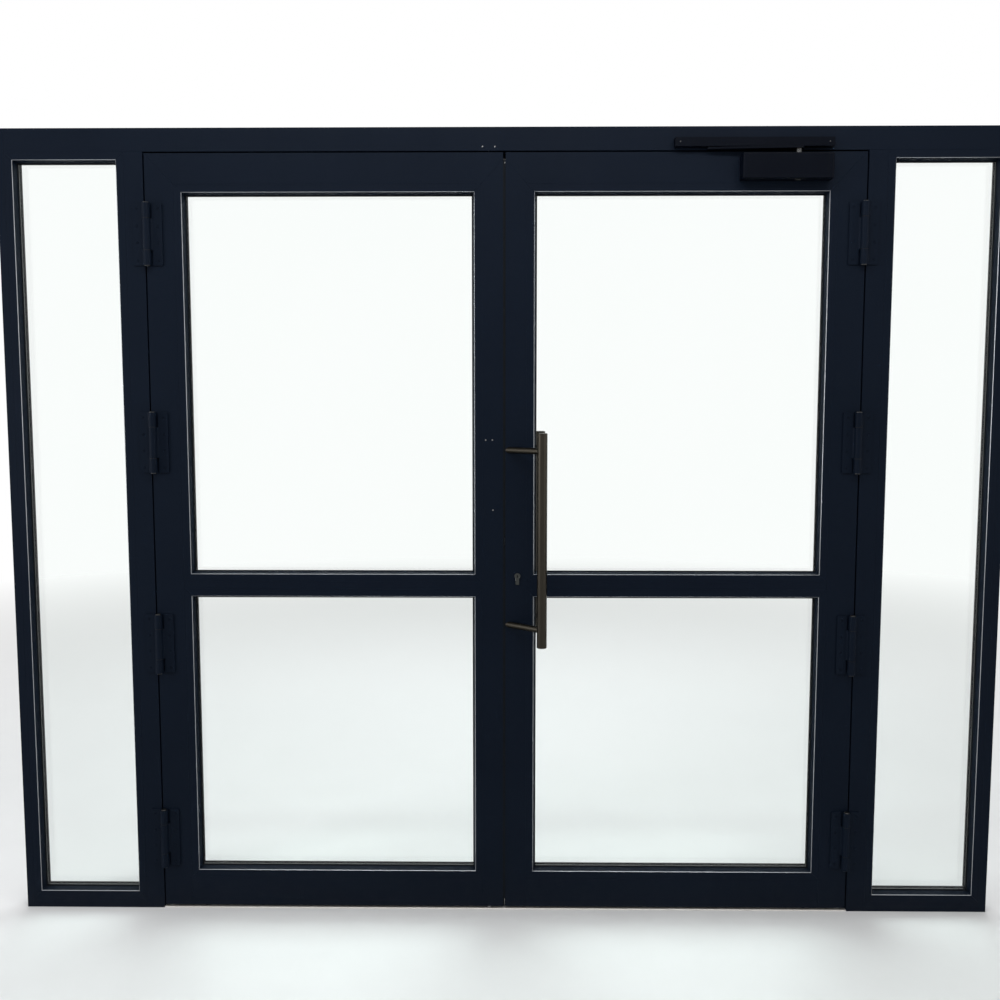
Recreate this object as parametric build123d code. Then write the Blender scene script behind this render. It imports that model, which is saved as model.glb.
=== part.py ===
from build123d import *
import math
import os

# Glass entrance door: two glazed leaves and two glazed side panels in one aluminium frame
#
# Millimetres. +X is to the right seen from the room, +Y points outdoors, +Z is up.
# The origin is the middle of the frame's foot, half way through its depth.
# The leaves swing towards the room, and the right one is the working leaf with the lock.

# Frame
overall_width = 2812.0
overall_height = 2236.0
profile_depth = 65.0
opening_width = 2000.0       # between the two mullions
mullion_box = 52.5           # hollow part of a mullion, across its face
jamb_box = 22.0
head_box = 64.0
sill_box = 29.0
stop_reach = 16.0            # how far the stop stands into the opening
stop_start = 26.0            # depth at which the stop begins, from the room side
threshold_height = 3.0

# Leaves
leaf_gap = 4.0               # between leaf and frame, at the hinges and at the top
meeting_gap = 7.0            # between the two leaves
floor_gap = 10.0             # under the leaves
wing_reach = 20.0            # lip of the leaf that covers the rebate
wing_depth = 22.0
hinge_stile_box = 59.5
meeting_stile_box = 58.5
top_rail_box = 64.5
middle_rail_box = 21.5
bottom_rail_box = 85.5
middle_rail_height = 962.5   # centre of the middle rail above the floor

# Profile walls
profile_wall = 2.0
room_chamber_depth = 18.0    # chamber on the room side
lock_chamber_depth = 21.0    # middle chamber, which takes the lock
flange_wall = 4.0            # fixed outer edge of the glazing rebate

# Glazing
bead_face = 22.0
bead_depth = 21.0
bead_slope = 4.0             # how far the bead leans over the glass
bead_edge = 1.0
bead_wall = 1.6
gasket_thickness = 4.0
gasket_lip = 4.0             # what shows of the gasket beyond the bead
glass_clearance = 6.0        # between the glass edge and the profile
glass_sheet = 6.0
spacer_width = 20.0          # between the two sheets of a sealed unit
spacer_height = 12.0
spacer_inset = 3.0
outer_lip = 2.0

# Seals
seal_clearance = 0.3
meeting_seal_depth = 4.0
meeting_seal_set_back = 0.4
meeting_slit = 0.5
meeting_slit_offset = 1.5    # the slit lies a little to the right of the middle
outer_seal_depth = 6.0
outer_seal_from_face = 13.0
outer_seal_reach = 2.9       # right leaf, towards the middle
outer_seal_reach_left = 1.5
stop_seal_width = 8.0
stop_seal_clearance = 1.0    # the back of the wing rises a little as the leaf swings
brush_width = 5.0
brush_holder_width = 12.0
brush_holder_height = 2.0
brush_from_face = 50.0
brush_end_gap = 1.5

# Hinges
hinge_count = 4
hinge_first_height = 216.0
hinge_spacing = 577.0
hinge_length = 170.0
hinge_axis_inset = 10.0      # from the mullion's edge towards the leaf
hinge_axis_forward = 12.0    # in front of the room face
knuckle_radius = 11.0
frame_knuckle_length = 40.0
bush_flange = 2.0
bush_flange_set_back = 1.0   # within the outside of the knuckle
hinge_axial_play = 0.1
pin_radius = 5.0
pin_play = 0.05
bush_wall = 2.0
bush_length = 28.0
pin_cap_radius = 8.5
pin_cap_height = 2.5
pin_cap_slope = 1.5
hinge_plate_width = 28.0
hinge_plate_thickness = 4.0
hinge_plate_from_axis = 13.0
hinge_web_clearance = 1.0
hinge_web_lap = 3.0
hinge_web_set_back = 0.5

# Pull handles
pull_above_lock = 109.0      # middle of the bar above the lock's plug
pull_length = 600.0
pull_diameter = 28.0
pull_edge_break = 1.5
pull_spacing = 500.0
pull_rod_diameter = 18.0
pull_base_inset = 14.0       # from the leaf's edge to the foot of a rod
pull_offset = 88.0           # sideways, from the foot to the bar
pull_projection = 74.5
stud_diameter = 8.0
stud_hole_clearance = 0.4
stud_grip = 8.0

# Lock
lock_height = 990.0          # centre of the cylinder's plug
backset = 34.0
case_below = 35.0            # of the case, below the plug's centre
case_above = 130.0
case_depth = 49.5
case_thickness = 14.0
case_wall = 1.5
faceplate_width = 22.0
faceplate_thickness = 3.0
faceplate_margin = 35.0
faceplate_round_margin = 1.0
cylinder_round = 17.0
cylinder_tail_width = 10.0
cylinder_height = 33.0
cylinder_projection = 3.0
cylinder_clearance = 0.3
plug_radius = 6.5
plug_play = 0.05
cam_reach = 15.3
cam_width = 9.0
cam_thickness = 10.0
cam_clearance = 0.4
keyway_width = 2.4
keyway_height = 8.0
keyway_depth = 22.0
bolt_thickness = 9.0
bolt_clearance = 0.3
deadbolt_height = 30.0
deadbolt_above = 40.0        # above the plug's centre
deadbolt_length = 38.0
deadbolt_set_back = 0.5
latch_height = 20.0
latch_above = 95.0
latch_length = 30.0
latch_projection = 5.0
strike_margin = 20.0
strike_clearance = 0.9

# Shoot bolts of the left leaf
shoot_bolt_diameter = 12.0
shoot_bolt_from_edge = 40.0
shoot_bolt_clearance = 0.3
shoot_bolt_depth = 9.0       # from the room side
bottom_bolt_top = 420.0
top_bolt_bottom = 1620.0
bolt_throw = 15.0
bolt_tip_above_threshold = 0.6
bolt_tip_below_leaf_top = 1.0
bolt_tip_chamfer = 1.5
thumb_height = 14.0
thumb_width = 6.0
thumb_set_back = 0.6
thumb_slot_end = 2.0
keeper_width = 46.0
keeper_height = 26.0

# Closer with a slide rail, on the right leaf
closer_length = 247.0
closer_height = 68.5
closer_depth = 45.0
closer_below_leaf_top = 11.5
closer_from_mullion = 107.0
closer_corner = 6.0
closer_edge = 3.0
spindle_from_closer_end = 92.0
spindle_from_face = 22.0
spindle_radius = 8.0
spindle_play = 0.05
spindle_tip = 2.0
spindle_tip_chamfer = 1.0
spindle_neck_radius = 6.0
arm_length = 240.0
arm_thickness = 5.5
arm_above_leaf = 2.5
arm_hub_radius = 14.0
arm_end_radius = 9.0
arm_pivot_radius = 5.0
arm_pivot_height = 1.0
linkage_gap = 0.3            # open pivot between arm and slider
rail_length = 434.0
rail_from_mullion = 101.0
rail_height = 24.0
rail_depth = 24.0
rail_wall = 2.0
rail_slot = 12.0
slider_length = 40.0
slider_height = 12.0
slider_clearance = 0.3

# Corner and end connectors inside the profiles
connector_leg = 80.0
connector_clearance = 0.2
connector_mitre_room = 2.0   # the mitres are not quite at 45 degrees

# Fixings to the wall
fixing_hole_radius = 5.25
fixing_count = 4             # in each jamb
fixing_end_distance = 218.0  # from the foot and the top of a jamb to its outer holes
head_fixings = (500.0, 1150.0)   # to each side of the middle
fixing_depth = 34.5          # from the room side, clear of every wall inside the profiles

# Places that follow from the sizes above
inner_y = -profile_depth / 2
outer_y = profile_depth / 2
half_width = overall_width / 2
half_opening = opening_width / 2
opening_top = overall_height - head_box
leaf_top = opening_top - leaf_gap
leaf_body_top = leaf_top - wing_reach
leaf_edge = half_opening - leaf_gap
leaf_body_edge = leaf_edge - wing_reach
meeting_edge = meeting_gap / 2
hinge_box_inner = leaf_body_edge - hinge_stile_box
meeting_box_inner = meeting_edge + meeting_stile_box
top_box_inner = leaf_body_top - top_rail_box
bottom_box_inner = floor_gap + bottom_rail_box
middle_low = middle_rail_height - middle_rail_box / 2
middle_high = middle_rail_height + middle_rail_box / 2
jamb_inner = half_width - jamb_box
mullion_outer = half_opening + mullion_box
first_web = profile_wall + room_chamber_depth
lock_chamber_start = first_web + profile_wall
second_web = lock_chamber_start + lock_chamber_depth
outer_chamber_start = second_web + profile_wall
outer_chamber_end = profile_depth - profile_wall
flange_start = profile_depth - flange_wall
glass_start = bead_depth + gasket_thickness
glass_end = glass_start + 2 * glass_sheet + spacer_width
hinge_x = half_opening - hinge_axis_inset
hinge_y = inner_y - hinge_axis_forward
lock_y = inner_y + lock_chamber_start + lock_chamber_depth / 2
lock_x = meeting_edge + backset
fixing_y = inner_y + fixing_depth
fixing_spacing = (overall_height - 2 * fixing_end_distance) / (fixing_count - 1)
case_bottom = lock_height - case_below
case_top = lock_height + case_above
deadbolt_centre = lock_height + deadbolt_above
latch_centre = lock_height + latch_above
faceplate_bottom = case_bottom - faceplate_margin
faceplate_top = case_top + faceplate_margin
strike_bottom = deadbolt_centre - deadbolt_height / 2 - strike_margin
strike_top = latch_centre + latch_height / 2 + strike_margin
pull_base_x = meeting_edge + pull_base_inset
pull_x = pull_base_x + pull_offset
pull_middle = lock_height + pull_above_lock
shoot_bolt_x = -(meeting_edge + shoot_bolt_from_edge)
shoot_bolt_radius = shoot_bolt_diameter / 2
shoot_bolt_y = inner_y + shoot_bolt_depth
closer_right = half_opening - closer_from_mullion
closer_top = leaf_top - closer_below_leaf_top
spindle_x = closer_right - spindle_from_closer_end
spindle_y = inner_y - spindle_from_face
arm_bottom = leaf_top + arm_above_leaf
arm_top = arm_bottom + arm_thickness
rail_y = inner_y - rail_depth / 2
rail_right = half_opening - rail_from_mullion
rail_left = rail_right - rail_length
rail_bottom = arm_top + arm_pivot_height + linkage_gap + slider_clearance
slider_x = spindle_x - math.sqrt(arm_length ** 2 - (rail_y - spindle_y) ** 2)


# Helpers for sections and blocks

def area(u0, u1, v0, v1):
    """A rectangle of a profile's section: u across the face, v outwards from the room side."""
    return Pos((u0 + u1) / 2, (v0 + v1) / 2) * Rectangle(u1 - u0, v1 - v0)


def block(x0, x1, y0, y1, z0, z1):
    """A rectangular block between two corners."""
    return Pos((x0 + x1) / 2, (y0 + y1) / 2, (z0 + z1) / 2) * Box(x1 - x0, y1 - y0, z1 - z0)


def upright(x, y, z0, z1, radius):
    """A round bar that stands along Z."""
    return Pos(x, y, (z0 + z1) / 2) * Cylinder(radius, z1 - z0)


def crosswise(x, z, y0, y1, radius):
    """A round bar that lies along Y."""
    return Pos(x, (y0 + y1) / 2, z) * Rot(90, 0, 0) * Cylinder(radius, y1 - y0)


def member(section, edge, direction, start, end):
    """Extrudes a section along a stile or rail. u starts at edge and runs in the direction given."""
    length = end - start
    places = {
        "+X": Plane(origin=(edge, inner_y, start), x_dir=(1, 0, 0), z_dir=(0, 0, 1)),
        "-X": Plane(origin=(edge, inner_y, end), x_dir=(-1, 0, 0), z_dir=(0, 0, -1)),
        "-Z": Plane(origin=(start, inner_y, edge), x_dir=(0, 0, -1), z_dir=(1, 0, 0)),
        "+Z": Plane(origin=(end, inner_y, edge), x_dir=(0, 0, 1), z_dir=(-1, 0, 0)),
    }
    return extrude(places[direction] * section, amount=length)


def front_plate(points, y0, y1):
    """A plate between two depths, from the corners of its outline seen from the front."""
    place = Plane(origin=(0, y0, 0), x_dir=(1, 0, 0), z_dir=(0, -1, 0))
    outline = place * Polygon(*points, align=None)
    return extrude(outline, amount=y1 - y0, dir=(0, 1, 0))


def mitre(*points):
    """A prism through the whole depth that keeps the part of a bar inside an outline."""
    return front_plate(points, -profile_depth, profile_depth)


def mirrored(shape):
    """The same piece on the left side of the door."""
    return mirror(shape, about=Plane.YZ)


def group(*solids):
    """Several separate solids of one node."""
    return Compound(children=[solid for solid in solids])


# Sections of the hollow profiles

def chambered(box):
    """The plain three-chambered box that every profile is built on."""
    outline = area(0, box, 0, profile_depth)
    inner = box - profile_wall
    room = area(profile_wall, inner, profile_wall, first_web)
    middle = area(profile_wall, inner, lock_chamber_start, second_web)
    outer = area(profile_wall, inner, outer_chamber_start, outer_chamber_end)
    return outline - room - middle - outer


def rebate_flange(box):
    """The fixed outer edge that the glass is pressed against."""
    return area(box, box + bead_face, flange_start, profile_depth)


def leaf_section(box):
    """A leaf profile with the covering wing on its outer edge."""
    wing = area(-wing_reach, 0, 0, wing_depth)
    hollow = area(profile_wall - wing_reach, profile_wall, profile_wall, first_web)
    return chambered(box) + rebate_flange(box) + wing - hollow


def stop_section():
    """The hollow stop of the frame, which the wing of a leaf closes against."""
    outline = area(-stop_reach, 0, stop_start, profile_depth)
    hollow = area(profile_wall - stop_reach, 0, stop_start + profile_wall, outer_chamber_end)
    return outline - hollow


# Frame

def right_jamb():
    """The outer upright of the frame, with holes for the wall fixings."""
    jamb = member(chambered(jamb_box), half_width, "-X", 0, overall_height)
    jamb += member(rebate_flange(jamb_box), half_width, "-X", sill_box, opening_top)
    for number in range(fixing_count):
        height = fixing_end_distance + number * fixing_spacing
        hole = Rot(0, 90, 0) * Cylinder(fixing_hole_radius, 4 * jamb_box)
        jamb -= Pos(half_width, fixing_y, height) * hole
    return jamb


def right_mullion():
    """The upright between leaf and side panel."""
    section = chambered(mullion_box) + stop_section()
    mullion = member(section, half_opening, "+X", 0, opening_top)
    mullion += member(rebate_flange(mullion_box), half_opening, "+X", sill_box, opening_top)
    return mullion


def head():
    """The top member, with the stop over the leaves and a rebate over each side panel."""
    bar = member(chambered(head_box), overall_height, "-Z", -jamb_inner, jamb_inner)
    reach = half_opening - stop_reach
    stop = area(head_box, head_box + stop_reach, stop_start, profile_depth)
    bar += member(stop, overall_height, "-Z", -reach, reach)
    hollow = area(head_box, head_box + stop_reach - profile_wall, stop_start + profile_wall,
                  outer_chamber_end)
    bar -= member(hollow, overall_height, "-Z", profile_wall - reach, reach - profile_wall)
    side_start = mullion_outer + bead_face
    side_end = jamb_inner - bead_face
    flange = member(rebate_flange(head_box), overall_height, "-Z", side_start, side_end)
    bar += flange
    bar += mirrored(flange)
    for distance in head_fixings:
        hole = upright(distance, fixing_y, opening_top - stop_reach - 1, overall_height + 1,
                       fixing_hole_radius)
        bar -= hole
        bar -= mirrored(hole)
    bar -= upright(shoot_bolt_x, shoot_bolt_y, opening_top - 1, opening_top + profile_wall + 1,
                   shoot_bolt_radius + shoot_bolt_clearance)
    return bar


def right_sill():
    """The low member under a side panel."""
    sill = member(chambered(sill_box), 0, "+Z", mullion_outer, jamb_inner)
    sill += member(rebate_flange(sill_box), 0, "+Z", mullion_outer + bead_face, jamb_inner - bead_face)
    return sill


def threshold():
    """The flat plate under the leaves, notched round the stops, with the hole for the floor bolt."""
    stop_edge = half_opening - stop_reach
    plate = Rectangle(opening_width, profile_depth)
    for side in (-1, 1):
        notch = Rectangle(stop_reach, profile_depth - stop_start)
        plate -= Pos(side * (stop_edge + stop_reach / 2), stop_start / 2) * notch
    plate = extrude(plate, amount=threshold_height)
    front = plate.edges().filter_by(Axis.X).sort_by(Axis.Z)[-4:].sort_by(Axis.Y)[0]
    plate = chamfer(front, threshold_height / 3)
    hole = upright(shoot_bolt_x, shoot_bolt_y, -1, threshold_height + 1,
                   shoot_bolt_radius + shoot_bolt_clearance)
    return plate - hole


# Leaf members, modelled on the right

def rail_notch(stile_inner, towards, z0, z1):
    """The part of a stile's flange that makes room for the end of a rail."""
    end = stile_inner + towards * bead_face
    low, high = min(stile_inner, end), max(stile_inner, end)
    return block(low, high, inner_y, outer_y, z0, z1)


def hinge_stile():
    """The stile on the hinge side, mitred at the top."""
    bar = member(leaf_section(hinge_stile_box), leaf_body_edge, "-X", floor_gap, leaf_top)
    corner_x = hinge_box_inner - bead_face
    corner_z = top_box_inner - bead_face
    bar &= mitre((leaf_edge, floor_gap), (leaf_edge, leaf_top), (corner_x, corner_z),
                 (corner_x, floor_gap))
    bar -= rail_notch(hinge_box_inner, -1, floor_gap, bottom_box_inner)
    bar -= rail_notch(hinge_box_inner, -1, middle_low, middle_high)
    return bar


def meeting_stile():
    """The stile where the leaves meet: no wing, because each leaf opens by itself."""
    section = chambered(meeting_stile_box) + rebate_flange(meeting_stile_box)
    bar = member(section, meeting_edge, "+X", floor_gap, leaf_body_top)
    corner_x = meeting_box_inner + bead_face
    corner_z = top_box_inner - bead_face
    bar &= mitre((meeting_edge, floor_gap), (meeting_edge, leaf_body_top),
                 (corner_x, corner_z), (corner_x, floor_gap))
    bar -= rail_notch(meeting_box_inner, 1, floor_gap, bottom_box_inner)
    bar -= rail_notch(meeting_box_inner, 1, middle_low, middle_high)
    return bar


def top_rail():
    """The top rail, mitred into both stiles, with its wing running over the meeting stile."""
    bar = member(leaf_section(top_rail_box), leaf_body_top, "-Z", meeting_edge, leaf_edge)
    corner_z = top_box_inner - bead_face
    bar &= mitre((leaf_edge, leaf_top), (meeting_edge, leaf_top), (meeting_edge, leaf_body_top),
                 (meeting_box_inner + bead_face, corner_z), (hinge_box_inner - bead_face, corner_z))
    return bar


def middle_rail():
    """The rail between upper and lower glass, square between the stiles."""
    bar = member(chambered(middle_rail_box), middle_low, "+Z", meeting_box_inner, hinge_box_inner)
    flanges = rebate_flange(middle_rail_box) + area(-bead_face, 0, flange_start, profile_depth)
    bar += member(flanges, middle_low, "+Z", meeting_box_inner + bead_face,
                  hinge_box_inner - bead_face)
    return bar


def bottom_rail():
    """The tall bottom rail, square between the stiles."""
    bar = member(chambered(bottom_rail_box), floor_gap, "+Z", meeting_box_inner, hinge_box_inner)
    bar += member(rebate_flange(bottom_rail_box), floor_gap, "+Z", meeting_box_inner + bead_face,
                  hinge_box_inner - bead_face)
    return bar


# Glazing: each opening is given by the faces of the boxes round it

right_upper_opening = (meeting_box_inner, hinge_box_inner, middle_high, top_box_inner)
right_lower_opening = (meeting_box_inner, hinge_box_inner, bottom_box_inner, middle_low)
right_side_opening = (mullion_outer, jamb_inner, sill_box, opening_top)


def front_rectangle(opening, inset, v):
    """A rectangle seen from the front, inset from an opening, at a depth v."""
    x0, x1, z0, z1 = opening
    place = Plane(origin=((x0 + x1) / 2, inner_y + v, (z0 + z1) / 2), x_dir=(1, 0, 0),
                  z_dir=(0, 1, 0))
    return place * Rectangle(x1 - x0 - 2 * inset, z1 - z0 - 2 * inset)


def bead_section():
    """The hollow clip-in bead: flush with the face, leaning over the glass."""
    outline = Polygon((0, 0), (bead_face - bead_edge, 0), (bead_face, bead_edge),
                      (bead_face + bead_slope, bead_depth), (0, bead_depth), align=None)
    return outline - offset(outline, amount=-bead_wall, kind=Kind.INTERSECTION)


def beads(opening):
    """Four beads round one opening, mitred to each other."""
    x0, x1, z0, z1 = opening
    reach = bead_face + bead_slope + bead_edge
    section = bead_section()
    corners = ((x0, z0), (x1, z0), (x1, z1), (x0, z1))
    inner = ((x0 + reach, z0 + reach), (x1 - reach, z0 + reach),
             (x1 - reach, z1 - reach), (x0 + reach, z1 - reach))
    bars = (member(section, z0, "+Z", x0, x1), member(section, x1, "-X", z0, z1),
            member(section, z1, "-Z", x0, x1), member(section, x0, "+X", z0, z1))
    cut = []
    for number, bar in enumerate(bars):
        following = (number + 1) % 4
        cut.append(bar & mitre(corners[number], corners[following], inner[following],
                               inner[number]))
    return cut


def gaskets(opening):
    """The wedge on the room side of a glass unit and the strip on its outer side."""
    cover = bead_face - bead_edge
    edge = glass_clearance + bead_edge
    lip = cover + bead_slope + gasket_lip
    middle = bead_depth + gasket_thickness / 2
    room = extrude(front_rectangle(opening, edge, bead_depth), amount=gasket_thickness)
    room -= loft([front_rectangle(opening, bead_face + bead_slope, bead_depth),
                  front_rectangle(opening, lip, middle)])
    room -= extrude(front_rectangle(opening, lip, middle), amount=gasket_thickness / 2)
    outside = extrude(front_rectangle(opening, edge, glass_end), amount=flange_start - glass_end)
    outside -= extrude(front_rectangle(opening, bead_face + outer_lip, glass_end),
                       amount=flange_start - glass_end)
    return [room, outside]


def glass_unit(opening):
    """A sealed double unit: two sheets with a spacer frame between them."""
    inner_sheet = extrude(front_rectangle(opening, glass_clearance, glass_start), amount=glass_sheet)
    spacer_start = glass_start + glass_sheet
    spacer_edge = glass_clearance + spacer_inset
    spacer = extrude(front_rectangle(opening, spacer_edge, spacer_start), amount=spacer_width)
    spacer -= extrude(front_rectangle(opening, spacer_edge + spacer_height, spacer_start),
                      amount=spacer_width)
    outer_sheet = extrude(front_rectangle(opening, glass_clearance, spacer_start + spacer_width),
                          amount=glass_sheet)
    return group(inner_sheet, spacer, outer_sheet)


# Seals

def stop_seals():
    """Rebate seals on the stops: one up each mullion and one along the head."""
    start = inner_y + wing_depth + stop_seal_clearance
    end = inner_y + stop_start
    from_edge = (stop_reach - stop_seal_width) / 2
    x0 = half_opening - stop_reach + from_edge
    side = block(x0, x0 + stop_seal_width, start, end, floor_gap, opening_top - stop_reach)
    z0 = opening_top - stop_reach + from_edge
    reach = half_opening - stop_reach
    top = block(-reach, reach, start, end, z0, z0 + stop_seal_width)
    return [side, mirrored(side), top]


def meeting_seals(room_reach, outer_reach):
    """The two strips on a meeting edge: one close to the room face, one near the outer face."""
    top = leaf_body_top
    y0 = inner_y + meeting_seal_set_back
    room = block(meeting_edge - room_reach, meeting_edge, y0, y0 + meeting_seal_depth,
                 floor_gap, top)
    y1 = outer_y - outer_seal_from_face
    outer = block(meeting_edge - outer_reach, meeting_edge, y1 - outer_seal_depth, y1,
                  floor_gap, top)
    return [room, outer]


def bottom_brush():
    """The brush under a leaf, in its holder."""
    section = area(brush_from_face - brush_holder_width / 2, brush_from_face + brush_holder_width / 2,
                   floor_gap - brush_holder_height, floor_gap)
    section += area(brush_from_face - brush_width / 2, brush_from_face + brush_width / 2,
                    threshold_height + seal_clearance, floor_gap)
    place = Plane(origin=(meeting_edge + brush_end_gap, inner_y, 0), x_dir=(0, 1, 0),
                  z_dir=(1, 0, 0))
    return extrude(place * section, amount=leaf_body_edge - meeting_edge - 2 * brush_end_gap)


# Connectors inside the profiles

def corner_angle(edge, towards, stile_box, y0, y1):
    """An angle in a mitred top corner, filling the outer chambers of stile and top rail."""
    inset = profile_wall + connector_clearance
    x0 = edge + towards * inset
    x1 = edge + towards * (stile_box - inset)
    x2 = edge + towards * (inset + connector_leg)
    z0 = leaf_body_top - inset
    z1 = top_box_inner + inset + connector_mitre_room
    z2 = z0 - connector_leg
    return front_plate(((x0, z0), (x2, z0), (x2, z1), (x1, z1), (x1, z2), (x0, z2)), y0, y1)


def leaf_connectors():
    """Angles in the two top corners and blocks at the ends of middle and bottom rail."""
    inset = profile_wall + connector_clearance
    y0 = inner_y + outer_chamber_start + connector_clearance
    y1 = inner_y + outer_chamber_end - connector_clearance
    half_leg = connector_leg / 2
    pieces = [
        corner_angle(leaf_body_edge, -1, hinge_stile_box, y0, y1),
        corner_angle(meeting_edge, 1, meeting_stile_box, y0, y1),
    ]
    for low, high in ((floor_gap, bottom_box_inner), (middle_low, middle_high)):
        for x0 in (meeting_box_inner, hinge_box_inner - half_leg):
            pieces.append(block(x0, x0 + half_leg, y0, y1, low + inset, high - inset))
    return pieces


def frame_connectors():
    """Blocks in the chambers of head and sills, where they meet jambs and mullions."""
    inset = profile_wall + connector_clearance
    y0 = inner_y + outer_chamber_start + connector_clearance
    y1 = inner_y + outer_chamber_end - connector_clearance
    half_leg = connector_leg / 2
    pieces = [
        block(jamb_inner - half_leg, jamb_inner, y0, y1, opening_top + inset, overall_height - inset),
        block(jamb_inner - half_leg, jamb_inner, y0, y1, inset, sill_box - inset),
        block(mullion_outer, mullion_outer + half_leg, y0, y1, inset, sill_box - inset),
        block(half_opening + inset, mullion_outer - inset, y0, y1, opening_top - half_leg, opening_top),
    ]
    return pieces + [mirrored(piece) for piece in pieces]


# Hinges

def hinge_bottoms():
    """Heights of the lower ends of the hinges."""
    return [hinge_first_height - hinge_length / 2 + number * hinge_spacing
            for number in range(hinge_count)]


def knuckle(z0, z1, bore):
    """A knuckle round the hinge axis."""
    return upright(hinge_x, hinge_y, z0, z1, knuckle_radius) - upright(hinge_x, hinge_y, z0, z1, bore)


def hinge_web(side, foot_y, z0, z1, bore):
    """The web from a knuckle down to its plate, on one side of the axis."""
    end = hinge_x + side * (hinge_plate_from_axis + hinge_web_lap)
    outline = Polygon((hinge_x, hinge_y - knuckle_radius + hinge_web_set_back),
                      (end, inner_y - hinge_plate_thickness), (end, foot_y), (hinge_x, foot_y),
                      align=None)
    web = Pos(0, 0, z0) * extrude(outline, amount=z1 - z0, dir=(0, 0, 1))
    return web - upright(hinge_x, hinge_y, z0, z1, bore)


def hinge_plate(side, z0, z1):
    """The flat plate that is screwed to the profile."""
    start = hinge_x + side * hinge_plate_from_axis
    end = start + side * hinge_plate_width
    plate = block(min(start, end), max(start, end), inner_y - hinge_plate_thickness, inner_y, z0, z1)
    outer_edges = plate.edges().filter_by(Axis.Y).group_by(Axis.X)[-1 if side > 0 else 0]
    return fillet(outer_edges, hinge_plate_thickness)


def hinge_frame_part(z0):
    """Plate on the mullion with the lower and the upper knuckle."""
    part = hinge_plate(1, z0, z0 + hinge_length)
    foot_y = inner_y - hinge_web_clearance
    for low in (z0, z0 + hinge_length - frame_knuckle_length):
        high = low + frame_knuckle_length
        part += knuckle(low, high, pin_radius)
        part += hinge_web(1, foot_y, low, high, pin_radius)
    return part


def hinge_leaf_part(z0):
    """Plate on the leaf with the middle knuckle, which is bored for the bushes."""
    low = z0 + frame_knuckle_length + bush_flange
    high = z0 + hinge_length - frame_knuckle_length - bush_flange
    bore = pin_radius + pin_play + bush_wall
    part = hinge_plate(-1, z0, z0 + hinge_length)
    part += knuckle(low, high, bore)
    part += hinge_web(-1, inner_y, low, high, bore)
    return part


def hinge_bushes(z0):
    """The two flanged bushes of the middle knuckle."""
    inner = pin_radius + pin_play
    outer = inner + bush_wall
    flange_radius = knuckle_radius - bush_flange_set_back
    height = bush_length + bush_flange
    profile = Polygon((inner, hinge_axial_play), (flange_radius, hinge_axial_play),
                      (flange_radius, bush_flange), (outer, bush_flange), (outer, height),
                      (inner, height), align=None)
    bush = revolve(Plane.XZ * profile, axis=Axis.Z)
    lower = Pos(hinge_x, hinge_y, z0 + frame_knuckle_length) * bush
    upper = Pos(hinge_x, hinge_y, z0 + hinge_length - frame_knuckle_length) * Rot(180, 0, 0) * bush
    return [lower, upper]


def hinge_pin(z0):
    """The pin, held in the frame's knuckles, with a turned cap at each end."""
    half = hinge_length / 2
    cap = half + pin_cap_height
    profile = Polygon((0, 0), (pin_radius, 0), (pin_radius, half), (pin_cap_radius, half),
                      (pin_cap_radius, half + pin_cap_height / 2), (pin_cap_radius - pin_cap_slope, cap),
                      (0, cap), align=None)
    upper = revolve(Plane.XZ * profile, axis=Axis.Z)
    pin = upper + mirror(upper, about=Plane.XY)
    return Pos(hinge_x, hinge_y, z0 + half) * pin


# Pull handles

def pull_bar(side):
    """The round bar of a pull handle. side is -1 for the room side and 1 for outdoors."""
    y = side * (outer_y + pull_projection)
    bar = upright(pull_x, y, pull_middle - pull_length / 2, pull_middle + pull_length / 2,
                  pull_diameter / 2)
    return chamfer(bar.edges().filter_by(GeomType.CIRCLE), pull_edge_break)


def pull_rod(side, height):
    """A slanted rod from the stile to the bar, cut flush with the stile and round the bar."""
    base = Vector(pull_base_x, side * outer_y, height)
    end = Vector(pull_x, side * (outer_y + pull_projection), height)
    direction = (end - base).normalized()
    start = base - direction * pull_rod_diameter
    place = Plane(origin=start, z_dir=direction)
    rod = extrude(place * Circle(pull_rod_diameter / 2), amount=(end - start).length)
    rod -= block(pull_base_x - pull_offset, pull_base_x + pull_offset, -outer_y, outer_y,
                 height - pull_rod_diameter, height + pull_rod_diameter)
    far = pull_base_x - pull_offset
    rod -= block(far, pull_x, min(0, -side * pull_offset), max(0, -side * pull_offset),
                 height - pull_rod_diameter, height + pull_rod_diameter)
    rod -= upright(pull_x, end.Y, height - pull_rod_diameter, height + pull_rod_diameter,
                   pull_diameter / 2)
    rod -= crosswise(pull_base_x, height, min(0, side * (outer_y + stud_grip)),
                     max(0, side * (outer_y + stud_grip)), stud_diameter / 2)
    return rod


def pull_heights():
    """Heights of the two rods of a pull handle."""
    return [pull_middle - pull_spacing / 2, pull_middle + pull_spacing / 2]


def pull_stud(height):
    """The stud through the stile that ties the inner and the outer rod together."""
    reach = outer_y + stud_grip
    return crosswise(pull_base_x, height, -reach, reach, stud_diameter / 2)


# Lock

def cylinder_outline(clearance=0.0):
    """The keyhole outline of the lock cylinder: a round head over a narrow tail."""
    radius = cylinder_round / 2 + clearance
    tail_end = cylinder_round / 2 - cylinder_height - clearance
    tail_width = cylinder_tail_width + 2 * clearance
    outline = Circle(radius) + Pos(0, tail_end / 2) * Rectangle(tail_width, -tail_end)
    return outline


def through_cylinder(outline, v0, v1):
    """Extrudes the cylinder's outline through the leaf between two depths."""
    place = Plane(origin=(lock_x, inner_y + v1, lock_height), x_dir=(1, 0, 0), z_dir=(0, -1, 0))
    return extrude(place * outline, amount=v1 - v0)


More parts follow.
